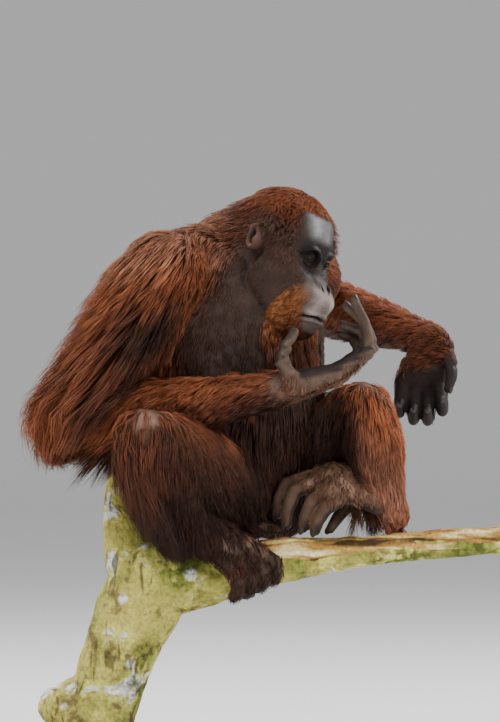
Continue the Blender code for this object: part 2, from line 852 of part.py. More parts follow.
def coats():
    """For each hairy piece: where locks grow, which way they lie and how big they are."""
    return {
        "upper_arm_right": dict(grows=off_the_chest, lie=toward(ELBOW_RIGHT + ELBOW_FRINGE),
                                length=ramp(SHOULDER_RIGHT, ELBOW_RIGHT, 0.100, 0.165),
                                lift=ramp(SHOULDER_RIGHT, ELBOW_RIGHT, 0.022, 0.046),
                                spacing=0.056, width=0.056, droop=0.10),
        "forearm_right": dict(grows=not_under, lie=toward(ELBOW_RIGHT + Vector((0.0, -0.02, -0.10))),
                              length=ramp(WRIST_RIGHT, ELBOW_RIGHT, 0.055, 0.110),
                              lift=ramp(WRIST_RIGHT, ELBOW_RIGHT, 0.010, 0.020),
                              spacing=0.052, width=0.044, droop=0.10),
        "upper_arm_left": dict(grows=all_round, lie=toward(ELBOW_LEFT + Vector((0.0, 0.05, -0.10))),
                               length=even(0.110), lift=even(0.016),
                               spacing=0.066, width=0.056, droop=0.3),
        "forearm_left": dict(grows=all_round, lie=toward(ELBOW_LEFT + Vector((0.0, 0.03, -0.12))),
                             length=ramp(WRIST_LEFT, ELBOW_LEFT, 0.055, 0.105),
                             lift=ramp(WRIST_LEFT, ELBOW_LEFT, 0.010, 0.018),
                             spacing=0.060, width=0.050, droop=0.3),
        "chest": dict(grows=back_and_sides, lie=away_from(NECK_BASE, 0.6), length=even(0.120),
                      lift=even(0.017), spacing=0.066, width=0.062, droop=0.2),
        "belly": dict(grows=back_and_sides, lie=lambda point, normal: -UP, length=even(0.105),
                      lift=even(0.014), spacing=0.068, width=0.060, droop=0.2),
        "neck": dict(grows=off_the_throat, lie=away_from(EYES, 0.5), length=even(0.075),
                     lift=even(0.011), spacing=0.056, width=0.050, droop=0.1),
        "head": dict(grows=hair_of_head, lie=lie_on_head, length=even(0.046), lift=even(0.007),
                     spacing=0.042, width=0.036, droop=0.0),
        "thigh_right": dict(grows=not_under, lie=away_from(KNEE_RIGHT + UP * 0.05, 0.5),
                            length=even(0.090), lift=even(0.012),
                            spacing=0.058, width=0.050, droop=0.2),
        "shin_right": dict(grows=not_under, lie=away_from(KNEE_RIGHT + UP * 0.05, 0.6),
                           length=even(0.080), lift=even(0.012),
                           spacing=0.052, width=0.046, droop=0.2),
        "thigh_left": dict(grows=not_under, lie=away_from(KNEE_LEFT + UP * 0.05, 0.5),
                           length=even(0.090), lift=even(0.012),
                           spacing=0.062, width=0.052, droop=0.2),
        "shin_left": dict(grows=not_under, lie=away_from(KNEE_LEFT + UP * 0.05, 0.6),
                          length=even(0.080), lift=even(0.012),
                          spacing=0.052, width=0.046, droop=0.2),
    }


def skin_surface(pieces):
    """One search tree over all the flesh, which the locks follow."""
    points = []
    faces = []
    for piece in pieces:
        start = len(points)
        points += [vertex.co.copy() for vertex in piece.data.vertices]
        faces += [[start + number for number in face.vertices] for face in piece.data.polygons]
    return BVHTree.FromPolygons(points, faces)


def add_coat(pieces):
    clearance = Clearance(pieces)
    surface = skin_surface(pieces)
    by_name = {piece.name: piece for piece in pieces}
    grown = {name: grow_locks(by_name[name], coat, clearance, surface)
             for name, coat in coats().items()}
    for name, meshes in grown.items():
        fuse(by_name[name], meshes)


# Perch and stand


def roughen(thing, size, seed):
    """Uneven bark, as slow swells that go round and along the wood."""
    draw = random.Random(seed)
    waves = [(Vector([draw.uniform(-1, 1) for _ in range(3)]).normalized() * draw.uniform(25, 60),
              draw.uniform(0, math.tau)) for _ in range(6)]
    moved = [vertex.normal * size * sum(math.sin(wave.dot(vertex.co) + phase)
                                        for wave, phase in waves) / 3
             for vertex in thing.data.vertices]
    for vertex, step in zip(thing.data.vertices, moved):
        vertex.co += step
    thing.data.update()


def build_perch():
    trunk = flesh("perch_trunk", limb(TRUNK) + [ball(KNOT, KNOT_RADIUS) + ball(TRUNK[1][0], 0.04)],
                  "bark")
    roughen(trunk, 0.003, 3)
    thin(trunk)
    trim(trunk, Vector((0.0, 0.0, TRUNK_END)), Vector((0.0, 0.0, -1.0)))
    branch = flesh("perch_branch", limb(BRANCH), "bark")
    roughen(branch, 0.0022, 5)
    thin(branch)
    stub = flesh("perch_stub", limb(STUB), "bark", rounds=2)
    roughen(stub, 0.002, 8)
    thin(stub)
    settle(trunk, [])
    settle(branch, [trunk])
    settle(stub, [trunk, branch])
    return [trunk, branch, stub]


def build_stand():
    shape = bmesh.new()
    bmesh.ops.create_cube(shape, size=1.0)
    bmesh.ops.scale(shape, verts=shape.verts, vec=BASE_SIZE)
    bmesh.ops.translate(shape, verts=shape.verts, vec=(0.0, 0.0, BASE_SIZE.z / 2))
    rim = [edge for edge in shape.edges
           if all(vertex.co.z > BASE_SIZE.z / 2 for vertex in edge.verts)]
    bmesh.ops.bevel(shape, geom=rim, offset=0.004, segments=2, profile=0.5, affect="EDGES")
    pieces = [new_object("stand_base", mesh_of(shape), "base")]
    length = TRUNK_END - BASE_SIZE.z - 2 * GAP
    for number, side in ((1, -1), (2, 1)):
        shape = bmesh.new()
        bmesh.ops.create_cone(shape, cap_ends=True, segments=20, depth=length,
                              radius1=ROD_RADIUS, radius2=ROD_RADIUS)
        place = ROD_MIDDLE + Vector((side * ROD_SPREAD / 2, 0.0, BASE_SIZE.z + GAP + length / 2))
        bmesh.ops.translate(shape, verts=shape.verts, vec=place)
        pieces.append(new_object(f"stand_rod_{number}", mesh_of(shape), "rod"))
    return pieces


def shade(thing):
    thing.data.shade_smooth()
    thing.data.set_sharp_from_angle(angle=math.radians(50))


def build_body(core):
    head = build_head()
    chest = flesh("chest", chest_hulls(BODY_FUR), "coat")
    belly = flesh("belly", belly_hulls(BODY_FUR), "coat")
    part_at(belly, chest, WAIST_LEVEL, UP)
    neck = flesh("neck", neck_hulls(HEAD_FUR), "coat")
    for piece in (chest, belly, neck):
        thin(piece)
    part_head_from_neck(head, neck)
    place(core, *build_eyes(), head, chest, belly, neck)
    for name, side in (("ear_right", -1), ("ear_left", 1)):
        place(core, build_ear(name, side))


def build_limb(core, near_name, far_name, near_hulls, far_hulls, joints, fur):
    """The two halves of an arm or a leg, parted at the middle joint."""
    start, middle, end = joints
    near = flesh(near_name, near_hulls(start, middle, fur), "coat")
    far = flesh(far_name, far_hulls(middle, end, BODY_FUR), "coat")
    part_at(near, far, middle, bend_normal(start, middle, end))
    for piece in (near, far):
        thin(piece)
        place(core, piece)


def place(core, *pieces):
    """Cut each new piece clear of what is there, and count it in."""
    for piece in pieces:
        settle(piece, core)
        core.append(piece)


def build_limbs(core):
    for side, joints in (("right", (HIP_RIGHT, KNEE_RIGHT, ANKLE_RIGHT)),
                         ("left", (HIP_LEFT, KNEE_LEFT, ANKLE_LEFT))):
        build_limb(core, f"thigh_{side}", f"shin_{side}", thigh_hulls, shin_hulls, joints, BODY_FUR)
    for side, joints in (("right", (SHOULDER_RIGHT, ELBOW_RIGHT, WRIST_RIGHT)),
                         ("left", (SHOULDER_LEFT, ELBOW_LEFT, WRIST_LEFT))):
        build_limb(core, f"upper_arm_{side}", f"forearm_{side}", arm_hulls, forearm_hulls, joints,
                   ARM_FUR)


def build_hands_and_feet(core):
    core += build_hand("hand_right", "palm", RIGHT_HAND, WRIST_RIGHT, core)
    core += build_hand("hand_left", "palm", LEFT_HAND, WRIST_LEFT, core)
    for side, ankle, digits, heel in (("right", ANKLE_RIGHT, RIGHT_FOOT, HEEL_RIGHT),
                                      ("left", ANKLE_LEFT, LEFT_FOOT, HEEL_LEFT)):
        extra = [ball(ankle + heel, 0.022) + ball(ankle, 0.026)]
        core += build_hand(f"foot_{side}", "sole", digits, ankle, core, extra)


def main():
    clear_scene()
    stand = build_stand()
    core = build_perch()
    build_body(core)
    build_limbs(core)
    build_hands_and_feet(core)
    drop_cutters()
    add_coat(core)
    for thing in core + stand:
        shade(thing)


main()
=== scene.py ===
"""The looks of a still, life-size orangutan that sits in the fork of a tree, laid out as an add-on.

Metres, +Z up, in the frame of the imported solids. The animal faces +X and -Y.
"""
import math

import bmesh
import bpy
import numpy as np
from bpy.props import FloatProperty, FloatVectorProperty, IntProperty, PointerProperty
from mathutils import Matrix, Vector, noise
from mathutils.bvhtree import BVHTree


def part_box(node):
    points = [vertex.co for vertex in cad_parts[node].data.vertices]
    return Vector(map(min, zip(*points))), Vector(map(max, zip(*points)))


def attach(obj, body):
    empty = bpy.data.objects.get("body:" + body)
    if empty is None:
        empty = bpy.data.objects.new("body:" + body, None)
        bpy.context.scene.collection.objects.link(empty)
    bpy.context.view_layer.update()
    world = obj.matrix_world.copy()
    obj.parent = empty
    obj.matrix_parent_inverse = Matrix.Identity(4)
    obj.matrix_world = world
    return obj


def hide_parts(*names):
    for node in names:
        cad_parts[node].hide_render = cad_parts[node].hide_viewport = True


bl_info = {
    "name": "Orangutan Museum Model",
    "version": (1, 0, 0),
    "blender": (4, 5, 0),
    "location": "3D View > Sidebar > Orangutan",
    "description": "Skin, coat, eyes, nails, wood, stand and stage of a sitting orangutan",
    "category": "Object",
}

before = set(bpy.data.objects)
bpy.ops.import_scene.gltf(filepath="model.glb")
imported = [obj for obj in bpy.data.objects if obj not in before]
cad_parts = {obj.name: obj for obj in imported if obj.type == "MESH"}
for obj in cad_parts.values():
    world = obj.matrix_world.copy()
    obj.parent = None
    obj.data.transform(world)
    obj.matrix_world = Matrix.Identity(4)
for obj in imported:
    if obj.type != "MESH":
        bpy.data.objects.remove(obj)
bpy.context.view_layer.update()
BODY_NAME = "root"

# Directions of the trunk of the body: its front, its left and up
FRONT = Vector((0.74, -0.67, 0.0)).normalized()
LEFT = Vector((0.67, 0.74, 0.0)).normalized()
UP = Vector((0.0, 0.0, 1.0))
BODY = Matrix((FRONT, LEFT, UP)).transposed()
UPWARD = np.array(UP)
TINY = 1e-9

# Head: middle of the eyes, and how it turns, bows and leans
EYES = Vector((0.208, -0.096, 0.857))
HEAD_TURN = math.radians(-36.6)
HEAD_BOW = math.radians(26.0)
HEAD_LEAN = math.radians(10.7)
EYE_APART = 0.048
EYE_RADIUS = 0.012
EYE_BACK = 0.0075

# Joints of the arms
SHOULDER_RIGHT = Vector((-0.038, -0.130, 0.842))
ELBOW_RIGHT = Vector((-0.178, -0.152, 0.595))
WRIST_RIGHT = Vector((0.148, -0.152, 0.651))
SHOULDER_LEFT = Vector((0.190, 0.130, 0.838))
ELBOW_LEFT = Vector((0.186, 0.425, 0.808))
WRIST_LEFT = Vector((0.412, 0.231, 0.732))

# Joints of the legs, and each heel from its ankle
HIP_RIGHT = Vector((0.056, -0.040, 0.478))
KNEE_RIGHT = Vector((-0.066, -0.251, 0.576))
ANKLE_RIGHT = Vector((0.004, -0.143, 0.426))
HIP_LEFT = Vector((0.142, 0.079, 0.482))
KNEE_LEFT = Vector((0.284, -0.033, 0.618))
ANKLE_LEFT = Vector((0.322, -0.074, 0.465))
HEEL_RIGHT = Vector((-0.016, 0.006, -0.018))
HEEL_LEFT = Vector((0.016, 0.006, -0.018))

# Levels of the trunk of the body
NECK_BASE = Vector((0.085, -0.003, 0.872))
SHOULDER_LEVEL = Vector((0.078, 0.003, 0.836))
CHEST_LEVEL = Vector((0.072, 0.010, 0.752))
WAIST_LEVEL = Vector((0.080, 0.016, 0.632))
BELLY_LEVEL = Vector((0.078, 0.030, 0.552))
PELVIS_LEVEL = Vector((0.074, 0.042, 0.480))

# Perch: the axes of trunk, branch and stub with the radius at each point, the knot with its
# radius and the radius it sits in, the height of the sawn end, and the grain it is rounded at
TRUNK = (
    (Vector((-0.157, -0.025, 0.092)), 0.062),
    (Vector((-0.132, -0.030, 0.169)), 0.060),
    (Vector((-0.109, -0.033, 0.235)), 0.064),
    (Vector((-0.083, -0.041, 0.293)), 0.070),
    (Vector((-0.060, -0.048, 0.340)), 0.066),
)
BRANCH = (
    (Vector((-0.041, -0.053, 0.331)), 0.056),
    (Vector((0.017, -0.060, 0.340)), 0.050),
    (Vector((0.083, -0.069, 0.356)), 0.043),
    (Vector((0.153, -0.074, 0.372)), 0.038),
    (Vector((0.219, -0.074, 0.378)), 0.030),
    (Vector((0.299, -0.074, 0.386)), 0.025),
    (Vector((0.365, -0.074, 0.395)), 0.026),
    (Vector((0.520, -0.074, 0.404)), 0.025),
)
STUB = (
    (Vector((-0.096, -0.036, 0.367)), 0.046),
    (Vector((-0.119, -0.020, 0.450)), 0.026),
    (Vector((-0.116, -0.007, 0.541)), 0.017),
)
KNOT = Vector((-0.215, -0.022, 0.128))
KNOT_RADIUS = 0.036
KNOT_SEAT = 0.040
TRUNK_END = 0.085
WOOD_GRAIN = 0.0036

# Fingers and toes: the middle of each joint from the root to the tip
RIGHT_HAND = {
    "thumb": ((0.170, -0.170, 0.662), (0.151, -0.186, 0.694), (0.156, -0.184, 0.722),
              (0.165, -0.178, 0.742)),
    "index": ((0.236, -0.172, 0.676), (0.292, -0.173, 0.710), (0.283, -0.165, 0.757),
              (0.266, -0.158, 0.794)),
    "middle": ((0.240, -0.150, 0.674), (0.297, -0.149, 0.716), (0.281, -0.142, 0.760),
               (0.254, -0.135, 0.784)),
    "ring": ((0.238, -0.129, 0.674), (0.292, -0.124, 0.712), (0.281, -0.114, 0.742),
             (0.250, -0.110, 0.753)),
    "little": ((0.232, -0.109, 0.677), (0.278, -0.100, 0.706), (0.270, -0.090, 0.732),
               (0.245, -0.089, 0.739)),
}
LEFT_HAND = {
    "thumb": ((0.433, 0.222, 0.722), (0.443, 0.206, 0.690), (0.442, 0.194, 0.668),
              (0.436, 0.184, 0.648)),
    "index": ((0.423, 0.228, 0.662), (0.427, 0.200, 0.613), (0.425, 0.162, 0.610),
              (0.423, 0.143, 0.632)),
    "middle": ((0.402, 0.232, 0.654), (0.402, 0.204, 0.598), (0.400, 0.162, 0.594),
               (0.399, 0.140, 0.616)),
    "ring": ((0.380, 0.234, 0.654), (0.378, 0.208, 0.600), (0.376, 0.166, 0.595),
             (0.376, 0.145, 0.617)),
    "little": ((0.360, 0.234, 0.660), (0.354, 0.213, 0.614), (0.353, 0.176, 0.607),
               (0.354, 0.154, 0.626)),
}
RIGHT_FOOT = {
    "big_toe": ((0.046, -0.108, 0.404), (0.086, -0.084, 0.416), (0.120, -0.076, 0.425),
                (0.148, -0.070, 0.420)),
    "second": ((0.100, -0.112, 0.396), (0.139, -0.124, 0.371), (0.141, -0.110, 0.346),
               (0.131, -0.086, 0.338)),
    "third": ((0.088, -0.121, 0.388), (0.120, -0.130, 0.359), (0.121, -0.116, 0.336),
              (0.111, -0.091, 0.327)),
    "fourth": ((0.074, -0.129, 0.380), (0.100, -0.135, 0.349), (0.100, -0.121, 0.327),
               (0.091, -0.097, 0.318)),
    "little": ((0.058, -0.134, 0.374), (0.080, -0.138, 0.343), (0.080, -0.125, 0.321),
               (0.072, -0.102, 0.313)),
}
LEFT_FOOT = {
    "big_toe": ((0.290, -0.040, 0.472), (0.258, -0.032, 0.458), (0.242, -0.038, 0.438),
                (0.230, -0.048, 0.420)),
    "second": ((0.236, -0.050, 0.518), (0.158, -0.062, 0.495), (0.145, -0.067, 0.468),
               (0.143, -0.070, 0.446)),
    "third": ((0.238, -0.070, 0.511), (0.172, -0.082, 0.484), (0.160, -0.085, 0.452),
              (0.158, -0.084, 0.430)),
    "fourth": ((0.246, -0.088, 0.497), (0.200, -0.098, 0.468), (0.188, -0.098, 0.442),
               (0.185, -0.091, 0.424)),
    "little": ((0.258, -0.102, 0.480), (0.221, -0.111, 0.456), (0.209, -0.108, 0.436),
               (0.205, -0.098, 0.420)),
}

# A line through each palm and sole, and the way it faces
PALM_SIDES = (((WRIST_RIGHT, RIGHT_HAND["middle"][1]), (-0.35, 0.0, 0.94)),
              ((WRIST_LEFT, LEFT_HAND["middle"][1]), (-0.10, -0.99, 0.0)),
              ((ANKLE_RIGHT, RIGHT_FOOT["third"][1]), (-0.30, 0.80, -0.50)),
              ((ANKLE_LEFT, LEFT_FOOT["third"][1]), (0.30, 0.20, -0.93)))

# Radii of the digits from root to tip, and of a palm's edge
FINGER_RADII = (0.0122, 0.0106, 0.0092, 0.0074)
THUMB_RADII = (0.0146, 0.0116, 0.0102, 0.0078)
TOE_RADII = (0.0130, 0.0118, 0.0104, 0.0086)
PALM_THICKNESS = 0.0142
FEET = (RIGHT_FOOT, LEFT_FOOT)
HANDS = ((RIGHT_HAND, WRIST_RIGHT), (LEFT_HAND, WRIST_LEFT),
         (RIGHT_FOOT, ANKLE_RIGHT), (LEFT_FOOT, ANKLE_LEFT))

# How far past the wrist or ankle the skin bares on most hands, and past the thumb's first joint
# on the hanging hand
BARE_FROM = {False: 0.35, True: 0.80}

# Nails: the share of the tip's radius they reach along and across, how thick they are, and how
# far out the skin is looked for
NAIL_SIZE = (1.00, 0.72)
NAIL_THICKNESS = 0.0011
NAIL_SEARCH = 0.014

# Skin: the grain it is rounded at, how many faces it keeps, and the share of the thinning that
# the head and hands take
SKIN_GRAIN = 0.0028
SKIN_FACES = 66000
FINE_SHARE = 0.25

# Eyelids: the opening's half width and its height above and below, its slant, how thick the
# lids are and how deep the skin turns in behind them
LID_ACROSS = 0.0084
LID_UPPER = 0.0042
LID_LOWER = 0.0036
LID_SLANT = 0.10
LID_GAP = 0.0015
LID_DEPTH = 0.0030

# Face: the reach ahead of the eyes that holds the muzzle but not the hand, and the mouth's line
FACE_REACH = 0.085
MOUTH_LEVEL = -0.0795
MOUTH_HALF = 0.041
MOUTH_DROP = 0.0080

# Half the width and height of an ear, and the nipples' place across the chest and up it
EAR_HALF = (0.0138, 0.0200)
NIPPLE = (0.150, -0.028)

# Places where the coat's colour changes: the nape and the top of the shoulder, whose pale hair is
# partly painted light from above, and the hollow of the right arm, darkened as painted shade
NAPE = Vector((0.040, -0.060, 0.890))
SHOULDER_TOP = SHOULDER_RIGHT + Vector((-0.010, -0.020, 0.050))
ARM_HOLLOW_SHADE = (-0.045, -0.185, 0.765)

# Where the coat is rubbed thin, with the patch's radius and how bare it is
WORN_PATCHES = ((SHOULDER_RIGHT + Vector((0.010, -0.024, 0.050)), 0.036, 0.85),
                (KNEE_RIGHT + Vector((0.003, -0.027, 0.034)), 0.036, 0.90),
                (KNEE_LEFT + Vector((0.010, -0.020, 0.040)), 0.032, 0.50),
                (Vector((0.256, -0.100, 0.503)), 0.034, 0.45),
                (Vector((0.068, -0.144, 0.404)), 0.024, 0.40),
                (WRIST_RIGHT + Vector((-0.002, -0.025, 0.003)), 0.030, 0.22))


class OrangutanSettings(bpy.types.PropertyGroup):
    """Sizes and colours that a user would change."""

    hair_length: FloatProperty(name="Hair length", description="Scales the coat's length",
                               default=1.0, min=0.2, max=2.0)
    hair_width: FloatProperty(name="Hair width", description="Width of a tuft at its root",
                              default=0.0019, min=0.0005, unit="LENGTH")
    hair_tip: FloatVectorProperty(name="Hair tips", description="Colour of the lit, worn tips",
                                  subtype="COLOR", default=(0.320, 0.100, 0.036), min=0, max=1)
    hair_middle: FloatVectorProperty(name="Hair", description="Colour of the coat",
                                     subtype="COLOR", default=(0.118, 0.039, 0.020), min=0, max=1)
    # Hair roots: also the dark that the coat's tint lays as painted shade on undersides, inner
    # sides, hollows and in the lap
    hair_root_and_shade: FloatVectorProperty(name="Hair roots", description="Colour near the skin",
                                   subtype="COLOR", default=(0.022, 0.010, 0.007), min=0, max=1)
    skin_face: FloatVectorProperty(name="Face", description="Colour of the bare face",
                                   subtype="COLOR", default=(0.030, 0.022, 0.018), min=0, max=1)
    skin_pale: FloatVectorProperty(name="Pale skin", description="Colour of the bare forehead",
                                   subtype="COLOR", default=(0.270, 0.280, 0.290), min=0, max=1)
    # Dark skin: the palms, the eye rims and the ears' insides, also laid as painted shade in the eye
    # sockets, the nostrils, the line between the lips, on the hanging hand and on the right foot
    skin_dark_and_shade: FloatVectorProperty(name="Dark skin", description="Colour of palms and eye rims",
                                   subtype="COLOR", default=(0.016, 0.011, 0.010), min=0, max=1)
    eye_brown: FloatVectorProperty(name="Iris", description="Colour of the iris",
                                   subtype="COLOR", default=(0.016, 0.007, 0.004), min=0, max=1)
    bark_base: FloatVectorProperty(name="Bark", description="Colour of the bark",
                                   subtype="COLOR", default=(0.560, 0.490, 0.120), min=0, max=1)
    bark_pale: FloatVectorProperty(name="Lichen", description="Colour of the lichen",
                                   subtype="COLOR", default=(0.850, 0.850, 0.780), min=0, max=1)
    camera_away: FloatProperty(name="Camera distance", description="Distance to the lens",
                               default=6.0, min=1.0, unit="LENGTH")
    seed: IntProperty(name="Seed", description="Seed of the coat's spread", default=11, min=0)


def settings():
    return bpy.context.scene.orangutan


# Shader maths


class Value:
    """A shader value. Arithmetic on it adds Math nodes."""

    def __init__(self, shader, socket):
        self.shader = shader
        self.socket = socket

    def math(self, operation, other, swapped=False):
        first, second = (other, self) if swapped else (self, other)
        return self.shader.add("ShaderNodeMath", {"operation": operation},
                               {0: first, 1: second}).out()

    def __add__(self, other):
        return self.math("ADD", other)

    def __radd__(self, other):
        return self.math("ADD", other, swapped=True)

    def __sub__(self, other):
        return self.math("SUBTRACT", other)

    def __rsub__(self, other):
        return self.math("SUBTRACT", other, swapped=True)

    def __mul__(self, other):
        return self.math("MULTIPLY", other)

    def __rmul__(self, other):
        return self.math("MULTIPLY", other, swapped=True)

    def clamp(self):
        return self.shader.add("ShaderNodeClamp", {}, {0: self}).out()

    def between(self, low, high):
        """Rises softly from 0 at the low value to 1 at the high one."""
        return self.shader.add("ShaderNodeMapRange", {"interpolation_type": "SMOOTHSTEP"},
                               {0: self, 1: low, 2: high}).out()


class Made:
    """A node that was just added, with its outputs as values."""

    def __init__(self, shader, node):
        self.shader = shader
        self.node = node

    def out(self, name=0):
        return Value(self.shader, self.node.outputs[name])


class Shader:
    """A Principled material and the nodes that feed it."""

    def __init__(self, name, roughness=0.5, metallic=0.0, **constants):
        self.material = bpy.data.materials.new(name)
        self.material.use_nodes = True
        self.tree = self.material.node_tree
        self.surface = self.tree.nodes["Principled BSDF"]
        self.surface.inputs["Roughness"].default_value = roughness
        self.surface.inputs["Metallic"].default_value = metallic
        for key, value in constants.items():
            self.surface.inputs[key.replace("_", " ")].default_value = value

    def add(self, kind, choices, sockets):
        """A node of the given type, with its choices set first and then its sockets."""
        node = self.tree.nodes.new(kind)
        stops = choices.pop("stops", None)
        for key, value in choices.items():
            setattr(node, key, value)
        if stops:
            ramp = node.color_ramp
            while len(ramp.elements) < len(stops):
                ramp.elements.new(0.5)
            for element, (place, colour) in zip(ramp.elements, stops):
                element.position = place
                element.color = (*colour, 1.0)
        for key, value in sockets.items():
            if isinstance(value, Value):
                self.tree.links.new(value.socket, node.inputs[key])
            else:
                node.inputs[key].default_value = value
        return Made(self, node)

    def place(self, scale=(1.0, 1.0, 1.0)):
        """Object coordinates, stretched."""
        where = self.add("ShaderNodeTexCoord", {}, {}).out("Object")
        return self.add("ShaderNodeMapping", {}, {"Vector": where, "Scale": scale}).out()

    def noise(self, scale, detail, stretch=(1.0, 1.0, 1.0), distortion=0.0):
        return self.add("ShaderNodeTexNoise", {}, {
            "Vector": self.place(stretch), "Scale": scale, "Detail": detail,
            "Distortion": distortion}).out()

    def cells(self, scale, stretch=(1.0, 1.0, 1.0), feature="F1"):
        return self.add("ShaderNodeTexVoronoi", {"feature": feature}, {
            "Vector": self.place(stretch), "Scale": scale}).out("Distance")

    def attribute(self, name, output="Fac"):
        return self.add("ShaderNodeAttribute", {"attribute_name": name}, {}).out(output)

    def channels(self, name):
        """The three numbers that a colour attribute carries."""
        split = self.add("ShaderNodeSeparateColor", {}, {0: self.attribute(name, "Color")})
        return split.out(0), split.out(1), split.out(2)

    def ramp(self, factor, stops):
        return self.add("ShaderNodeValToRGB", {"stops": stops}, {0: factor}).out()

    def mix(self, factor, first, second, blend="MIX"):
        """A colour between two colours."""
        def four(colour):
            return colour if isinstance(colour, Value) else (*colour[:3], 1.0)
        return self.add("ShaderNodeMix", {"data_type": "RGBA", "blend_type": blend},
                        {0: factor, 6: four(first), 7: four(second)}).out(2)

    def feed(self, name, value):
        self.tree.links.new(value.socket, self.surface.inputs[name])

    def bump(self, height, distance, strength=1.0):
        made = self.add("ShaderNodeBump", {}, {"Height": height, "Distance": distance,
                                               "Strength": strength})
        self.feed("Normal", made.out())


# Mesh work


def unit_ball():
    ball_mesh = bmesh.new()
    bmesh.ops.create_icosphere(ball_mesh, subdivisions=3, radius=1.0)
    points = [vertex.co.copy() for vertex in ball_mesh.verts]
    ball_mesh.free()
    return points


UNIT_BALL = unit_ball()


def ball(centre, radius, axes=None):
    """Points on a ball, or on an ellipsoid with three radii along the given axes."""
    if isinstance(radius, (int, float)):
        return [centre + point * radius for point in UNIT_BALL]
    turn = (axes or Matrix.Identity(3)) @ Matrix.Diagonal(Vector(radius))
    return [centre + turn @ point for point in UNIT_BALL]


def chain(*balls):
    """Hulls that join each ball to the next, as a limb that tapers."""
    return [first + second for first, second in zip(balls, balls[1:])]


def limb(points_and_radii):
    return chain(*[ball(Vector(point), radius) for point, radius in points_and_radii])


def along(start, end, share):
    return start.lerp(end, share)


def mesh_of(shape):
    """Turn a bmesh into mesh data and free it."""
    mesh = bpy.data.meshes.new("shape")
    shape.to_mesh(mesh)
    shape.free()
    return mesh


def join_into(whole, shape):
    """Add a bmesh to another one and free it."""
    part = mesh_of(shape)
    whole.from_mesh(part)
    bpy.data.meshes.remove(part)


def new_object(name, mesh):
    made = bpy.data.objects.new(name, mesh)
    bpy.context.scene.collection.objects.link(made)
    return made


def apply_modifiers(thing):
    """Replace an object's mesh by the one its modifiers give."""
    bpy.context.view_layer.update()
    graph = bpy.context.evaluated_depsgraph_get()
    result = bpy.data.meshes.new_from_object(thing.evaluated_get(graph))
    old = thing.data
    thing.modifiers.clear()
    thing.data = result
    bpy.data.meshes.remove(old)


def hull_mesh(hulls):
    """One mesh of the convex hull of each list of points."""
    whole = bmesh.new()
    for points in hulls:
        shape = bmesh.new()
        corners = [shape.verts.new(point) for point in points]
        hull = bmesh.ops.convex_hull(shape, input=corners)
        inside = {item for item in hull["geom_interior"] if isinstance(item, bmesh.types.BMVert)}
        bmesh.ops.delete(shape, geom=list(inside), context="VERTS")
        join_into(whole, shape)
    return mesh_of(whole)


def rounded(name, hulls, grain):
    """One closed surface over the hulls."""
    thing = new_object(name, hull_mesh(hulls))
    remesh = thing.modifiers.new("one skin", "REMESH")
    remesh.mode = "VOXEL"
    remesh.voxel_size = grain
    apply_modifiers(thing)
    return thing


def read_out(items, name, width, kind=float):
    """A value of each item, as rows of the given width."""
    values = np.empty(len(items) * width, dtype=kind)
    items.foreach_get(name, values)
    return values.reshape(-1, width)


def points_of(thing):
    return read_out(thing.data.vertices, "co", 3)


def normals_of(thing):
    return read_out(thing.data.vertex_normals, "vector", 3)


def set_points(thing, places):
    thing.data.vertices.foreach_set("co", places.ravel())
    thing.data.update()


def soften(thing, rounds, chosen=None):
    """Smooth the whole surface, or only the chosen points."""
    shape = bmesh.new()
    shape.from_mesh(thing.data)
    points = shape.verts[:]
    if chosen is not None:
        points = [vertex for vertex, wanted in zip(points, chosen) if wanted]
    for _ in range(rounds):
        bmesh.ops.smooth_vert(shape, verts=points, factor=0.5,
                              use_axis_x=True, use_axis_y=True, use_axis_z=True)
    shape.to_mesh(thing.data)
    shape.free()


def refine(thing, chosen):
    """Split every edge whose two ends are chosen."""
    shape = bmesh.new()
    shape.from_mesh(thing.data)
    shape.verts.ensure_lookup_table()
    edges = [edge for edge in shape.edges if all(chosen[vertex.index] for vertex in edge.verts)]
    bmesh.ops.subdivide_edges(shape, edges=edges, cuts=1, use_grid_fill=True)
    bmesh.ops.triangulate(shape, faces=[face for face in shape.faces if len(face.verts) > 4])
    shape.to_mesh(thing.data)
    shape.free()


def paint(thing, name, colours):
    """Store a colour for each point of a mesh."""
    layer = thing.data.color_attributes.new(name, "FLOAT_COLOR", "POINT")
    layer.data.foreach_set("color", np.column_stack([colours, np.ones(len(colours))]).ravel())


def finish_piece(thing, shader, slot, *nodes):
    """Give a piece its material and hide the nodes it stands for. The slot is not used."""
    thing.data.materials.clear()
    thing.data.materials.append(shader.material)
    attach(thing, BODY_NAME)
    if nodes:
        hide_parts(*nodes)


# Shape of the body, as the solids have it but without their coat


def head_axes():
    """The head's own forward, left and up directions as the columns of a matrix."""
    forward = Vector((math.cos(HEAD_BOW) * math.cos(HEAD_TURN),
                      math.cos(HEAD_BOW) * math.sin(HEAD_TURN),
                      -math.sin(HEAD_BOW)))
    level_left = UP.cross(forward).normalized()
    left = Matrix.Rotation(-HEAD_LEAN, 3, forward) @ level_left
    return Matrix((forward, left, forward.cross(left))).transposed()


HEAD = head_axes()
HEAD_TABLE = np.array(HEAD)


def in_head(forward, left, up):
    """A place in the head, measured from the middle of the eyes."""
    return EYES + HEAD @ Vector((forward, left, up))


def to_head(places):
    """World places as forward, left and up from the middle of the eyes."""
    return (places - np.array(EYES)) @ HEAD_TABLE


def from_head(places):
    return places @ HEAD_TABLE.T + np.array(EYES)


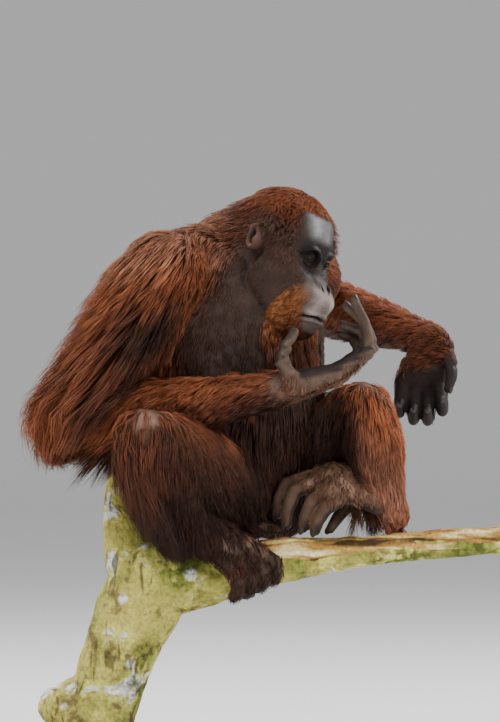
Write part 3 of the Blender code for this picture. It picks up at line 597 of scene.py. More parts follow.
def head_hulls():
    """Skull, brow, cheeks, muzzle and jaw."""
    def lump(forward, left, up, radius):
        return ball(in_head(forward, left, up), radius, HEAD)

    hulls = [lump(-0.078, 0.0, 0.011, (0.084, 0.072, 0.076)),
             lump(-0.050, 0.0, 0.028, (0.050, 0.056, 0.050))]
    for side in (-1, 1):
        hulls += chain(lump(-0.006, 0.0, 0.013, 0.011),
                       lump(-0.010, side * 0.026, 0.017, 0.013),
                       lump(-0.026, side * 0.044, 0.006, 0.014))
        hulls.append(lump(-0.036, side * 0.042, -0.020, 0.030)
                     + lump(-0.048, side * 0.046, -0.066, 0.026)
                     + lump(0.004, side * 0.018, -0.054, 0.030)
                     + lump(0.000, side * 0.022, -0.106, 0.022))
    hulls.append(lump(-0.010, 0.0, -0.002, 0.021) + lump(0.004, 0.0, -0.032, 0.019))
    hulls.append(lump(0.004, 0.0, -0.032, 0.020) + lump(0.026, 0.014, -0.058, 0.028)
                 + lump(0.026, -0.014, -0.058, 0.028))
    hulls.append(lump(0.024, 0.016, -0.062, 0.028) + lump(0.024, -0.016, -0.062, 0.028)
                 + lump(0.026, 0.014, -0.098, 0.021) + lump(0.026, -0.014, -0.098, 0.021)
                 + lump(0.004, 0.0, -0.116, 0.020) + lump(-0.050, 0.0, -0.074, 0.034))
    return hulls


def ear_axes(side):
    """Middle of an ear, and the ways along the head, up and outward there."""
    middle = in_head(-0.080, side * 0.076, -0.010)
    outward = HEAD @ Vector((-0.35, side * 0.94, 0.0))
    up = HEAD @ Vector((-0.12, 0.0, 0.99))
    ahead = up.cross(outward).normalized()
    return middle, Matrix((ahead, up, outward)).transposed()


def ear_hulls(side):
    middle, axes = ear_axes(side)
    outward = axes.col[2]
    return [ball(middle, (0.0150, 0.0215, 0.0095), axes)
            + ball(middle - outward * 0.012, (0.010, 0.016, 0.010), axes)]


def level(centre, depth, width, height):
    return ball(centre, (depth, width, height), BODY)


def torso_hulls():
    return chain(level(SHOULDER_LEVEL, 0.088, 0.158, 0.060),
                 level(CHEST_LEVEL, 0.128, 0.172, 0.080),
                 level(WAIST_LEVEL, 0.126, 0.158, 0.080),
                 level(BELLY_LEVEL, 0.122, 0.160, 0.080),
                 level(PELVIS_LEVEL, 0.100, 0.145, 0.072))


def neck_hulls():
    nape = in_head(-0.110, 0.0, 0.0)
    throat = in_head(-0.055, 0.0, -0.085)
    chin = in_head(-0.015, 0.0, -0.105)
    breast = NECK_BASE + FRONT * 0.062 - UP * 0.075
    ridges = [ball(NECK_BASE - FRONT * 0.03 - UP * 0.01, 0.052)
              + ball(along(NECK_BASE, shoulder, 0.75) + UP * 0.025, 0.034)
              for shoulder in (SHOULDER_RIGHT, SHOULDER_LEFT)]
    return (ridges
            + chain(ball(nape, 0.060), ball(NECK_BASE - FRONT * 0.02, 0.066),
                    ball(NECK_BASE - FRONT * 0.06 - UP * 0.025, 0.063))
            + chain(ball(throat, 0.052), ball(NECK_BASE + FRONT * 0.02, 0.072))
            + chain(ball(chin, 0.034), ball(breast, 0.052))
            + [ball(throat, 0.050) + ball(breast, 0.056)])


def arm_hulls(shoulder, elbow, wrist):
    return (limb([(shoulder, 0.060), (along(shoulder, elbow, 0.30), 0.056),
                  (along(shoulder, elbow, 0.70), 0.045), (elbow, 0.040)])
            + limb([(elbow, 0.040), (along(elbow, wrist, 0.25), 0.043),
                    (along(elbow, wrist, 0.60), 0.036), (along(elbow, wrist, 0.90), 0.026),
                    (wrist, 0.026)]))


def leg_hulls(hip, knee, ankle):
    return (limb([(hip, 0.074), (along(hip, knee, 0.5), 0.064), (knee, 0.045)])
            + limb([(knee, 0.045), (along(knee, ankle, 0.40), 0.047),
                    (along(knee, ankle, 0.80), 0.032), (ankle, 0.028)]))


def digit_radii(key, digits):
    if key in ("thumb", "big_toe"):
        return THUMB_RADII
    return TOE_RADII if digits in FEET else FINGER_RADII


def hand_hulls(digits, wrist):
    """A palm or sole and its five digits."""
    roots = [Vector(points[0]) for key, points in digits.items()
             if key not in ("thumb", "big_toe")]
    hulls = [ball(wrist, 0.026) + ball(first, PALM_THICKNESS) + ball(second, PALM_THICKNESS)
             for first, second in zip(roots, roots[1:])]
    first_root = Vector(next(iter(digits.values()))[0])
    hulls.append(ball(wrist, 0.024) + ball(first_root, 0.015)
                 + ball(along(wrist, roots[0], 0.6), PALM_THICKNESS))
    for key, points in digits.items():
        hulls += limb(list(zip(points, digit_radii(key, digits))))
    return hulls


def skin_hulls():
    hulls = head_hulls() + ear_hulls(-1) + ear_hulls(1) + neck_hulls() + torso_hulls()
    hulls += arm_hulls(SHOULDER_RIGHT, ELBOW_RIGHT, WRIST_RIGHT)
    hulls += arm_hulls(SHOULDER_LEFT, ELBOW_LEFT, WRIST_LEFT)
    hulls += leg_hulls(HIP_RIGHT, KNEE_RIGHT, ANKLE_RIGHT)
    hulls += leg_hulls(HIP_LEFT, KNEE_LEFT, ANKLE_LEFT)
    for digits, wrist in HANDS:
        hulls += hand_hulls(digits, wrist)
    for ankle, heel in ((ANKLE_RIGHT, HEEL_RIGHT), (ANKLE_LEFT, HEEL_LEFT)):
        hulls.append(ball(ankle + heel, 0.022) + ball(ankle, 0.026))
    return hulls


# Outlines on the head, as the height and the half width of the bare face, and the height and
# the forward edge of the bright hair of the jaw
BARE_FACE = ((-0.110, 0.014), (-0.095, 0.028), (-0.070, 0.038), (-0.045, 0.038), (-0.028, 0.036),
             (-0.010, 0.044), (0.010, 0.053), (0.035, 0.052), (0.055, 0.047), (0.072, 0.034))
JAW_BORDER = ((-0.180, 0.020), (-0.159, 0.013), (-0.139, 0.001), (-0.121, -0.010),
              (-0.093, -0.008), (-0.061, 0.003), (-0.038, 0.016))

# Skin colours of single places
BARE_CHEST = (0.040, 0.025, 0.020)
MUZZLE = (0.330, 0.270, 0.245)
# Painted highlights: brown-orange on the upper lids, and brown on the brow ridges, the bags under
# the eyes and the wings of the nose
UPPER_LID_HIGHLIGHT = (0.062, 0.031, 0.020)
RIDGE_HIGHLIGHT_SKIN = (0.062, 0.044, 0.036)
CHIN_SKIN = (0.150, 0.105, 0.088)
HAND_SKIN = (0.105, 0.070, 0.050)
WORN_SKIN = (0.310, 0.195, 0.145)
FOOT_SKIN = (0.260, 0.150, 0.095)
TOE_SKIN = (0.080, 0.045, 0.028)
EAR_RIM = (0.090, 0.047, 0.035)
NIPPLE_SKIN = (0.110, 0.060, 0.045)

# How dark the skin is under the coat, as a share of the coat's colour, which paints the shade deep
# in the coat, and how much lighter on the head
UNDER_COAT = 0.35
UNDER_HEAD = 0.25

# Hair colours of single places: the worn nape and shoulder, partly painted light, the dull throat
# and chest, partly painted shade, the temples, the bright jaw and the pale shin, partly painted
# light
WORN_HAIR_LIT = (0.300, 0.150, 0.092)
BIB_HAIR_SHADED = (0.046, 0.028, 0.021)
TEMPLE_HAIR = (0.085, 0.050, 0.037)
JAW_HAIR = (0.250, 0.098, 0.036)
SHIN_HAIR_LIT = (0.260, 0.115, 0.072)
HAND_HAIR = (0.170, 0.092, 0.058)


# Where on the body a place lies


def soft_step(values, low, high):
    """Rises softly from 0 at the low value to 1 at the high one."""
    share = np.clip((values - low) / (high - low), 0.0, 1.0)
    return share * share * (3.0 - 2.0 * share)


def near_line(places, start, end):
    """Distance of places to the line between two points, and the share along it."""
    start = np.array(start)
    way = np.array(end) - start
    share = np.clip((places - start) @ way / max(way @ way, 1e-12), 0.0, 1.0)
    return np.linalg.norm(places - start - share[:, None] * way, axis=1), share


def near_limb(places, *joints):
    """Distance of places to the nearer of a limb's two bones."""
    return np.minimum(*[near_line(places, *ends)[0] for ends in zip(joints, joints[1:])])


def by_line(places, start, end, low, high):
    """1 by the line between two points and 0 away from it."""
    return 1.0 - soft_step(near_line(places, start, end)[0], low, high)


def patch(places, centre, radius, edge):
    """1 inside a round patch and 0 outside, with a soft edge."""
    away = np.linalg.norm(places - np.array(centre), axis=1) / radius
    return 1.0 - soft_step(away, 1.0 - edge, 1.0)


def hand_mask(places):
    """1 on the hands and feet, past the wrists and ankles."""
    mask = np.zeros(len(places))
    for digits, wrist in HANDS:
        hanging = digits is LEFT_HAND
        if hanging:
            wrist = digits["thumb"][1]
        for key, points in digits.items():
            if hanging and key == "thumb":
                points = points[2:]
            start = along(Vector(wrist), Vector(points[0]), BARE_FROM[hanging])
            for first, second in zip((start, *points), points):
                mask = np.maximum(mask, by_line(places, first, second, 0.020, 0.030))
    return mask


def face_mask(places):
    """1 on the bare face and 0 where the coat has closed over it."""
    forward, left, up = to_head(places).T
    limit = np.interp(up, *zip(*BARE_FACE))
    limit = limit - 0.010 * (left > 0.0) * soft_step(up, 0.000, 0.030)
    inside = 1.0 - soft_step(np.abs(left), limit - 0.009, limit + 0.009)
    inside *= soft_step(forward, -0.058, -0.040) * (forward < FACE_REACH + 0.01)
    inside *= 1.0 - soft_step(up, 0.060, 0.080)
    return inside * soft_step(up, -0.112, -0.102)


def jaw_mask(places):
    """1 on the bright hair of the cheeks and jaw, which ends in a sharp line at the throat."""
    forward, left, up = to_head(places).T
    border = np.interp(up, *zip(*JAW_BORDER))
    inside = soft_step(forward, border - 0.004, border + 0.005)
    inside *= soft_step(-up, 0.028, 0.050) * soft_step(up, -0.150, -0.135)
    return inside * (forward < FACE_REACH) * (np.abs(left) < 0.07)


def near_head(places):
    away = np.linalg.norm(places - np.array(in_head(-0.060, 0.0, -0.010)), axis=1)
    return 1.0 - soft_step(away, 0.115, 0.150)


def bib_mask(places, facing):
    """1 on the throat and the chest, where the hair is short and thin."""
    throat = np.linalg.norm(places - np.array(in_head(-0.055, 0.0, -0.085)), axis=1)
    throat = (1.0 - soft_step(throat, 0.080, 0.115)) * (1.0 - jaw_mask(places))
    arm = np.minimum(near_line(places, SHOULDER_RIGHT, ELBOW_RIGHT)[0],
                     near_line(places, SHOULDER_LEFT, ELBOW_LEFT)[0])
    chest = soft_step(facing @ np.array(FRONT), -0.05, 0.35) * soft_step(arm, 0.062, 0.080)
    height = places[:, 2]
    chest *= soft_step(height, 0.600, 0.660) * (1.0 - soft_step(height, 0.800, 0.850))
    trunk = near_line(places, SHOULDER_LEVEL, PELVIS_LEVEL)[0]
    chest *= 1.0 - soft_step(trunk, 0.17, 0.20)
    return np.maximum(throat, chest * (1.0 - jaw_mask(places)))


def palm_mask(places, facing):
    """1 on the palms and soles."""
    mask = np.zeros(len(places))
    for palm, way in PALM_SIDES:
        turned = soft_step(facing @ np.array(way), -0.05, 0.45)
        mask = np.maximum(mask, turned * by_line(places, *palm, 0.07, 0.12))
    return mask * hand_mask(places)


def near_hand(places, digits):
    """1 near the fingers of one hand or the toes of one foot."""
    middle = digits["third" if digits in FEET else "middle"]
    return by_line(places, middle[0], middle[2], 0.085, 0.110)


def digit_mask(places):
    """1 on the fingers and toes from the first knuckle on."""
    mask = np.zeros(len(places))
    for digits, _ in HANDS:
        for points in digits.values():
            for first, second in zip(points[1:], points[2:]):
                mask = np.maximum(mask, by_line(places, first, second, 0.015, 0.022))
    return mask


def painter(tone):
    """Lays colours over a table of colours, each through a mask."""
    def blend(mask, colour):
        tone[:] = tone * (1.0 - mask[:, None]) + np.array(colour) * mask[:, None]
    return blend


def hair_colours():
    """The coat's brown, its orange, also used as painted light, and its dark, also used as painted
    shade.
    """
    look = settings()
    return np.array(look.hair_middle), np.array(look.hair_tip), np.array(look.hair_root_and_shade)


def tint_arms(blend, places, facing):
    """Orange on the outer and upper sides of the arms as painted light, and dark below, on the inner
    side and in the arm's hollow as painted shade.
    """
    _, orange, dark = hair_colours()
    away, down = near_line(places, SHOULDER_RIGHT, ELBOW_RIGHT)
    # Painted light: orange on the right upper arm's outer side and near the shoulder
    outer = soft_step(-facing[:, 0], -0.5, 0.8)
    high = 1.0 - soft_step(down, 0.05, 0.45)
    blend((1.0 - soft_step(away, 0.08, 0.11)) * (0.05 + 0.28 * outer + 0.35 * high), orange)
    # Painted shade: dark on the inner side of the right upper arm, toward the chest
    inner = soft_step(facing[:, 0], 0.0, 0.6) * soft_step(down, 0.35, 0.65)
    blend((1.0 - soft_step(away, 0.07, 0.09)) * inner * 0.75, dark)
    # Painted shade in the hollow of the right upper arm
    blend(patch(places, ARM_HOLLOW_SHADE, 0.075, 0.8) * 0.92, dark)
    # Painted light on the top of the right forearm
    forearm = by_line(places, ELBOW_RIGHT, WRIST_RIGHT, 0.05, 0.07)
    blend(forearm * soft_step(facing[:, 2], -0.2, 0.8) * 0.5, orange)
    # Painted light on the top of the left arm, and painted shade under it
    left = 1.0 - soft_step(near_limb(places, SHOULDER_LEFT, ELBOW_LEFT, WRIST_LEFT), 0.07, 0.09)
    blend(left * soft_step(facing[:, 2], -0.3, 0.7) * 0.42, orange)
    blend(left * soft_step(-facing[:, 2], 0.2, 0.8) * 0.6, dark)


def left_shin(places):
    return by_line(places, KNEE_LEFT, ANKLE_LEFT, 0.06, 0.09)


def short_of_shin(places):
    """1 up to the left knee and 0 past it, along the branch."""
    return 1.0 - soft_step(places[:, 0], 0.255, 0.290)


def tint_legs(blend, places, facing):
    """Orange on top and on the outer sides of the legs as painted light, dark on the right shin,
    dark as painted shade in the hair hanging behind the right leg and on the thighs' inner sides,
    and pale on the left shin, partly its own paler hair and partly painted light, with painted light
    on its right side and knee."""
    _, orange, dark = hair_colours()
    for side, hip, knee, ankle in ((-1, HIP_RIGHT, KNEE_RIGHT, ANKLE_RIGHT),
                                   (1, HIP_LEFT, KNEE_LEFT, ANKLE_LEFT)):
        leg = 1.0 - soft_step(near_limb(places, hip, knee, ankle), 0.07, 0.10)
        top = soft_step(facing[:, 2], 0.1, 0.9)
        outside = soft_step(facing @ np.array(LEFT) * side, 0.0, 0.8)
        # Painted light: orange on the tops and outer sides of the legs
        blend(leg * (0.10 * outside + 0.30 * top), orange)
        if side < 0:
            low = 1.0 - soft_step(places[:, 2], knee.z - 0.080, knee.z)
            blend(leg * low * 0.85, dark)
    # Painted shade: dark in the hair that hangs behind the right knee and shin
    behind = hang_mask(places, facing) * (1.0 - soft_step(places[:, 0], 0.00, 0.10))
    blend(behind * 0.60, dark)
    shin = left_shin(places)
    low = 1.0 - 0.5 * soft_step(places[:, 2], 0.50, 0.60)
    # Paler hair on the left shin's front, brightened as painted light
    blend(shin * soft_step(facing[:, 0] - facing[:, 1], -0.3, 0.8) * low, SHIN_HAIR_LIT)
    # Painted light: orange on the left shin's right-facing side
    blend(shin * soft_step(facing[:, 0], 0.65, 1.0) * 0.50, orange * 0.8)
    # Painted light on the lit side of the left knee
    knee = patch(places, KNEE_LEFT, 0.115, 0.7) * soft_step(facing[:, 0] + facing[:, 2], -0.1, 0.9)
    blend(knee * 0.60, orange * 1.25)
    # Painted shade on the inner sides of the thighs
    thigh = by_line(places, HIP_LEFT, KNEE_LEFT, 0.07, 0.10)
    inner = soft_step(-facing[:, 1] - facing[:, 0], 0.2, 1.0)
    blend(thigh * inner * short_of_shin(places) * 0.70, dark)
    thigh = by_line(places, HIP_RIGHT, KNEE_RIGHT, 0.07, 0.10)
    blend(thigh * soft_step(facing[:, 0], 0.0, 0.8) * 0.60, dark)


def tint_body(blend, places, facing):
    """Dark in the lap as painted shade, dull on the throat and chest, partly painted shade, and worn
    on the nape and the shoulder, partly painted light on their tops.
    """
    dark = hair_colours()[2]
    body = (places - np.array(BELLY_LEVEL)) @ np.array(BODY)
    # Painted shade in the lap, low between the legs
    lap = soft_step(body[:, 0], 0.02, 0.10) * (1.0 - soft_step(np.abs(body[:, 1]), 0.10, 0.16))
    low = 1.0 - soft_step(body[:, 2], 0.06, 0.14)
    blend(lap * low * short_of_shin(places) * 0.85, dark)
    # Thin dull hair on the throat and chest, darkened partly as painted shade under the chin
    blend(bib_mask(places, facing) * 0.85, BIB_HAIR_SHADED)
    # Pale worn hair on the nape and the shoulder's top, only where they face up: partly painted
    # light from above
    above = soft_step(facing[:, 2], -0.1, 0.7)
    blend(patch(places, NAPE, 0.085, 0.4) * above * 0.50, WORN_HAIR_LIT)
    blend(patch(places, SHOULDER_TOP, 0.075, 0.4) * above * 0.50, WORN_HAIR_LIT)


def tint_head(blend, places):
    """Orange on the crown, partly painted light on its top, and beside the left brow, dull at the
    temples, and bright on the jaw.
    """
    orange = hair_colours()[1]
    forward, left, up = to_head(places).T
    head = near_head(places)
    # Orange rising towards the crown's top: partly its own colour, partly painted light
    blend(head * soft_step(up, 0.030, 0.065) * 0.35, orange)
    side = soft_step(np.abs(left), 0.030, 0.050) * soft_step(forward, -0.115, -0.090)
    blend(head * side * soft_step(-up, -0.050, -0.025) * 0.9, TEMPLE_HAIR)
    blend(head * soft_step(left, 0.028, 0.040) * soft_step(up, 0.000, 0.020) * 0.75, orange * 0.7)
    blend(jaw_mask(places) * head * 0.95, JAW_HAIR)
    blend(jaw_mask(places) * head * soft_step(-up, 0.085, 0.115) * 0.35, orange)


def coat_tint(places, facing):
    """The coat's own colour at each place with painted light on lit sides and painted shade in
    hollows and on undersides, before it darkens to its roots.
    """
    brown, _, dark = hair_colours()
    tint = np.tile(brown, (len(places), 1))
    blend = painter(tint)
    tint_arms(blend, places, facing)
    tint_legs(blend, places, facing)
    tint_body(blend, places, facing)
    tint_head(blend, places)
    blend(hand_mask(places) * (1.0 - near_hand(places, RIGHT_FOOT)) * 0.8, HAND_HAIR)
    # Painted shade: darker coat on the undersides
    below = soft_step(-facing[:, 2], 0.35, 0.95)
    blend(below * (1.0 - near_head(places)) * (1.0 - left_shin(places)) * 0.45, dark)
    return tint


# Skin


def stroke(places, centre, radii, push):
    """Move places near a centre, most there and not at all at the radii."""
    away = np.linalg.norm((places - np.array(centre)) / np.array(radii), axis=1)
    weight = np.clip(1.0 - away * away, 0.0, 1.0) ** 2
    places += weight[:, None] * np.array(push)


def shape_lids(places, side):
    """Wrap the lids round the eyeball and open them over it."""
    ahead, across, up = (places - np.array((-EYE_BACK, side * EYE_APART / 2, 0.0))).T
    slanted = up - LID_SLANT * side * across
    high = np.where(slanted > 0.0, LID_UPPER, LID_LOWER)
    opening = np.sqrt((across / LID_ACROSS) ** 2 + (slanted / high) ** 2)
    covered = soft_step(opening, 0.92, 1.14)
    wanted = EYE_RADIUS + LID_GAP * covered - LID_DEPTH * (1.0 - covered)
    wanted += 0.0006 * np.exp(-((opening - 1.30) / 0.16) ** 2)
    wanted -= 0.0006 * np.exp(-((opening - 1.95) / 0.18) ** 2)
    flat = np.hypot(across, up)
    front = np.sqrt(np.clip(wanted ** 2 - flat ** 2, 0.0040 ** 2, None))
    blend = (1.0 - soft_step(flat, 0.0105, 0.0165)) * (ahead > -0.020) * (ahead < 0.040)
    places[:, 0] += (front - ahead) * blend


def face_front(skin):
    """Finds how far forward the face lies at a place across and up."""
    surface = BVHTree.FromObject(skin, bpy.context.evaluated_depsgraph_get())
    backward = HEAD @ Vector((-1.0, 0.0, 0.0))

    def forward(left, up):
        return FACE_REACH - surface.ray_cast(in_head(FACE_REACH, left, up), backward)[3]
    return forward


def shape_face(places, forward):
    """Brow, sockets, nose, muzzle, lips and wrinkles, in the head's own directions."""
    def press(left, up, across, high, push):
        stroke(places, (forward(left, up), left, up), (0.018, across, high), push)

    def arc(middle, radii, degrees, across, high, push):
        for angle in np.radians(degrees):
            press(middle + radii[0] * math.cos(angle), radii[1] * math.sin(angle),
                  across, high, push)

    for side in (-1, 1):
        eye = side * EYE_APART / 2
        # Socket, the ridge over it, the bag under it and two creases below that
        press(eye, 0.0, 0.024, 0.021, (-0.0065, 0, 0))
        arc(eye, (0.0180, 0.0175), range(15, 166, 12), 0.0080, 0.0065, (0.0021, 0, 0.0002))
        arc(eye, (0.0140, 0.0140), range(200, 341, 12), 0.0060, 0.0045, (0.0013, 0, 0))
        arc(eye, (0.0178, 0.0182), range(205, 336, 10), 0.0048, 0.0026, (-0.0012, 0, 0))
        arc(eye, (0.0225, 0.0235), range(215, 326, 10), 0.0048, 0.0028, (-0.0008, 0, 0))
        # Wrinkles that fan out from the eye's outer corner
        for fold in (-0.004, 0.002, 0.008):
            for step in range(4):
                press(eye + side * (0.0165 + 0.0035 * step), fold * (0.7 + 0.35 * step),
                      0.0040, 0.0016, (-0.0006, 0, 0))
        # Wing of the nose and its slanted nostril
        press(side * 0.0145, -0.0290, 0.0085, 0.0095, (0.0040, side * 0.0018, 0.0008))
        for step in range(4):
            press(side * (0.0118 - 0.0014 * step), -0.0280 - 0.0028 * step,
                  0.0043, 0.0036, (-0.0046, 0, 0.0008))
        # Fold from the nose to the mouth's corner, the cheek beside it and the temple
        for step in range(8):
            press(side * (0.0190 + 0.0030 * step), -0.026 - 0.0062 * step,
                  0.0050, 0.0070, (-0.0011, 0, 0))
        press(side * 0.030, -0.050, 0.014, 0.020, (0.0016, side * 0.0018, 0))
        press(side * 0.043, 0.028, 0.016, 0.020, (0.0020, side * 0.0010, 0))
    # Wall between the nostrils, the hollow bridge of the nose and the lines of the forehead
    press(0.0, -0.034, 0.0034, 0.0100, (0.0016, 0, 0))
    press(0.0, -0.002, 0.0100, 0.0170, (-0.0024, 0, 0))
    for height in (0.026, 0.032, 0.039):
        for step in range(-6, 7):
            press(step * 0.0042, height - 0.00030 * step * step, 0.0046, 0.0020,
                  (-0.0006, 0, 0))
    shape_mouth(press)


def shape_mouth(press):
    """A closed mouth with full lips, its corners drawn down, and a lined upper lip."""
    steps = 26
    for step in range(-steps, steps + 1):
        share = step / steps
        left = MOUTH_HALF * share
        line = MOUTH_LEVEL - MOUTH_DROP * share ** 2
        outward = Vector((1.0, 0.9 * share, 0.0)).normalized()
        press(left, line, 0.0038, 0.0030, outward * -0.0028 * (1.0 - 0.6 * share ** 4))
        press(left, line + 0.0060, 0.0050, 0.0058, outward * 0.0009)
        press(left, line - 0.0070, 0.0050, 0.0058, outward * 0.0011)
    # Upright lines over and under the lips, and one across under the nose
    for step in range(-5, 6):
        left = step * 0.0062
        press(left, -0.0650, 0.0018, 0.0120, (-0.0004, 0, 0))
        press(left, -0.0930, 0.0020, 0.0070, (-0.0003, 0, 0))
    for step in range(-6, 4):
        press(step * 0.0036, -0.0600, 0.0040, 0.0015, (-0.0007, 0, 0))


def shape_ears(places):
    """Cup, rim and inner ridge of each ear."""
    for side in (-1, 1):
        middle, axes = ear_axes(side)
        local = (places - np.array(middle)) @ np.array(axes)
        ahead, up, outward = local.T
        away = np.hypot(ahead / EAR_HALF[0], up / EAR_HALF[1])
        outer = soft_step(outward, -0.003, 0.002) * (away < 1.35)
        change = -0.0105 * (1.0 - soft_step(away, 0.42, 0.78))
        change += 0.0022 * np.exp(-((away - 0.95) / 0.12) ** 2)
        change += 0.0034 * np.exp(-((away - 0.52) / 0.11) ** 2) * (ahead < 0.002)
        front = ((ahead - 0.0100) / 0.0034) ** 2 + ((up + 0.003) / 0.0055) ** 2
        change += 0.0050 * np.exp(-front)
        places += (change * outer)[:, None] * np.array(axes.col[2])


def fold_chest(places):
    """Creases across the chest where the body bends, and the breast above them."""
    local = (places - np.array(CHEST_LEVEL)) @ np.array(BODY)
    front = soft_step(local[:, 0], 0.04, 0.10)
    wave = np.sin(local[:, 1] * 40.0) * 0.003
    for height, depth in ((-0.032, 0.0045), (-0.048, 0.0040), (-0.064, 0.0035)):
        groove = np.exp(-((local[:, 2] - height - wave) / 0.0045) ** 2)
        places -= (groove * front * depth)[:, None] * np.array(FRONT)
    for side in (-1, 1):
        away = np.hypot((local[:, 1] - side * 0.075) / 0.055, (local[:, 2] + 0.004) / 0.050)
        breast = np.clip(1.0 - away ** 2, 0.0, 1.0) ** 2 * front
        places += (breast * 0.007)[:, None] * np.array(FRONT)
        away = np.hypot(local[:, 1] - side * NIPPLE[0], local[:, 2] - NIPPLE[1])
        nipple = np.clip(1.0 - (away / 0.0065) ** 2, 0.0, 1.0) * (local[:, 0] > 0.0)
        outward = FRONT * 0.4 + LEFT * side * 0.9
        places += (nipple * 0.005)[:, None] * np.array(outward)


def near_ears(places, reach):
    middles = [np.array(ear_axes(side)[0]) for side in (-1, 1)]
    return np.any([np.linalg.norm(places - middle, axis=1) < reach for middle in middles], axis=0)


def near_eyes(forward, left, up, reach):
    flat = np.minimum(*[np.hypot(left - side * EYE_APART / 2, up) for side in (-1, 1)])
    return (forward > -0.024) & (forward < FACE_REACH) & (flat < reach)


def face_zone(places):
    """The face and the ears."""
    forward, left, up = to_head(places).T
    chosen = (forward > -0.045) & (forward < FACE_REACH) & (np.abs(left) < 0.056)
    chosen &= (up > -0.122) & (up < 0.072)
    return chosen | near_ears(places, 0.027)


def lids_and_mouth_zone(places):
    """The lids, the muzzle round the nose and the mouth, and the ears."""
    forward, left, up = to_head(places).T
    chosen = (np.hypot(left / 1.9, up + 0.058) < 0.034) & (forward > 0.0) & (forward < FACE_REACH)
    return chosen | near_eyes(forward, left, up, 0.024) | near_ears(places, 0.025)


def lids_and_nostrils_zone(places):
    """The finest part: the rims of the lids and the nostrils."""
    forward, left, up = to_head(places).T
    nose = np.hypot(left / 1.4, up + 0.032) < 0.011
    return near_eyes(forward, left, up, 0.015) | (nose & (forward > 0.0) & (forward < FACE_REACH))


def thin_out(skin, fine):
    """Leave the skin fewer faces, most of them where it is fine."""
    group = skin.vertex_groups.new(name="coarse")
    for weight, chosen in ((FINE_SHARE, fine), (1.0, ~fine)):
        group.add([int(number) for number in np.nonzero(chosen)[0]], weight, "REPLACE")
    thin = skin.modifiers.new("thin out", "DECIMATE")
    thin.ratio = SKIN_FACES / (2 * len(skin.data.polygons))
    thin.vertex_group = group.name
    apply_modifiers(skin)
    skin.vertex_groups.clear()


def build_skin():
    """One closed skin from the crown to the toes."""
    skin = rounded("skin", skin_hulls(), SKIN_GRAIN)
    places = points_of(skin)
    on_hand = hand_mask(places) > 0.3
    in_face = to_head(places)
    on_head = (in_face[:, 0] > -0.17) & (in_face[:, 2] > -0.13) & (np.abs(in_face[:, 1]) < 0.11)
    soften(skin, 2)
    soften(skin, 4, ~on_hand)
    soften(skin, 10, ~on_hand & ~on_head)
    thin_out(skin, on_hand | on_head)
    for chosen in (face_zone, lids_and_mouth_zone, lids_and_nostrils_zone):
        refine(skin, chosen(points_of(skin)))
    soften(skin, 3, face_zone(points_of(skin)))
    bpy.context.view_layer.update()
    forward = face_front(skin)
    local = to_head(points_of(skin))
    shape_face(local, forward)
    for side in (-1, 1):
        shape_lids(local, side)
    places = from_head(local)
    shape_ears(places)
    fold_chest(places)
    set_points(skin, places)
    return skin


def glow(left, up, middle, radii, power=2):
    """1 in the middle of an oval on the face, fading past its radii."""
    return np.exp(-((left - middle[0]) / radii[0]) ** power - ((up - middle[1]) / radii[1]) ** power)


def oval(left, up, middle, radii, low, high):
    """1 inside an oval on the face and 0 outside it, between two multiples of its radii."""
    away = np.hypot((left - middle[0]) / radii[0], (up - middle[1]) / radii[1])
    return 1.0 - soft_step(away, low, high)


def tone_of_eyes(blend, face, left, up, pale, dark):
    """The pale skin beside the brow, lighter on the near side as painted light, the dark sockets,
    partly painted shade, and painted highlights on the brow ridges, the upper lids and the folds and
    bags under the eyes.
    """
    for side in (-1, 1):
        # Pale bare skin beside the brow, much stronger on the near side as painted light
        beside = glow(left, up, (side * 0.025, 0.050), (0.012, 0.014))
        blend(face * beside * (0.55 if side < 0 else 0.15), pale * 1.15)
        # Painted light on the fold under the eye
        below = glow(left, up, (side * 0.027, -0.0165), (0.016, 0.0045))
        blend(face * below * 0.45, pale * 0.26)
        # Dark skin in the socket, deepened as painted shade
        socket = oval(left, up, (side * 0.0215, 0.0085), (0.0275, 0.0185), 0.55, 1.15)
        blend(face * socket * 0.95, dark * 0.55)
        # Painted highlight along the brow ridge
        ridge = glow(left, up, (side * 0.022, 0.0205), (0.013, 0.0030))
        blend(face * ridge * 0.60, RIDGE_HIGHLIGHT_SKIN)
        # Painted highlight on the upper lid
        lid_middle = side * (EYE_APART / 2 - 0.001)
        lid = oval(left, up, (lid_middle, 0.0066), (0.0070, 0.0020), 0.4, 1.3)
        blend(face * lid * 0.75, UPPER_LID_HIGHLIGHT)
        # Painted highlight on the bag under the eye
        bag = glow(left, up, (side * EYE_APART / 2, -0.0085), (0.0095, 0.0022))
        blend(face * bag * 0.45, RIDGE_HIGHLIGHT_SKIN)


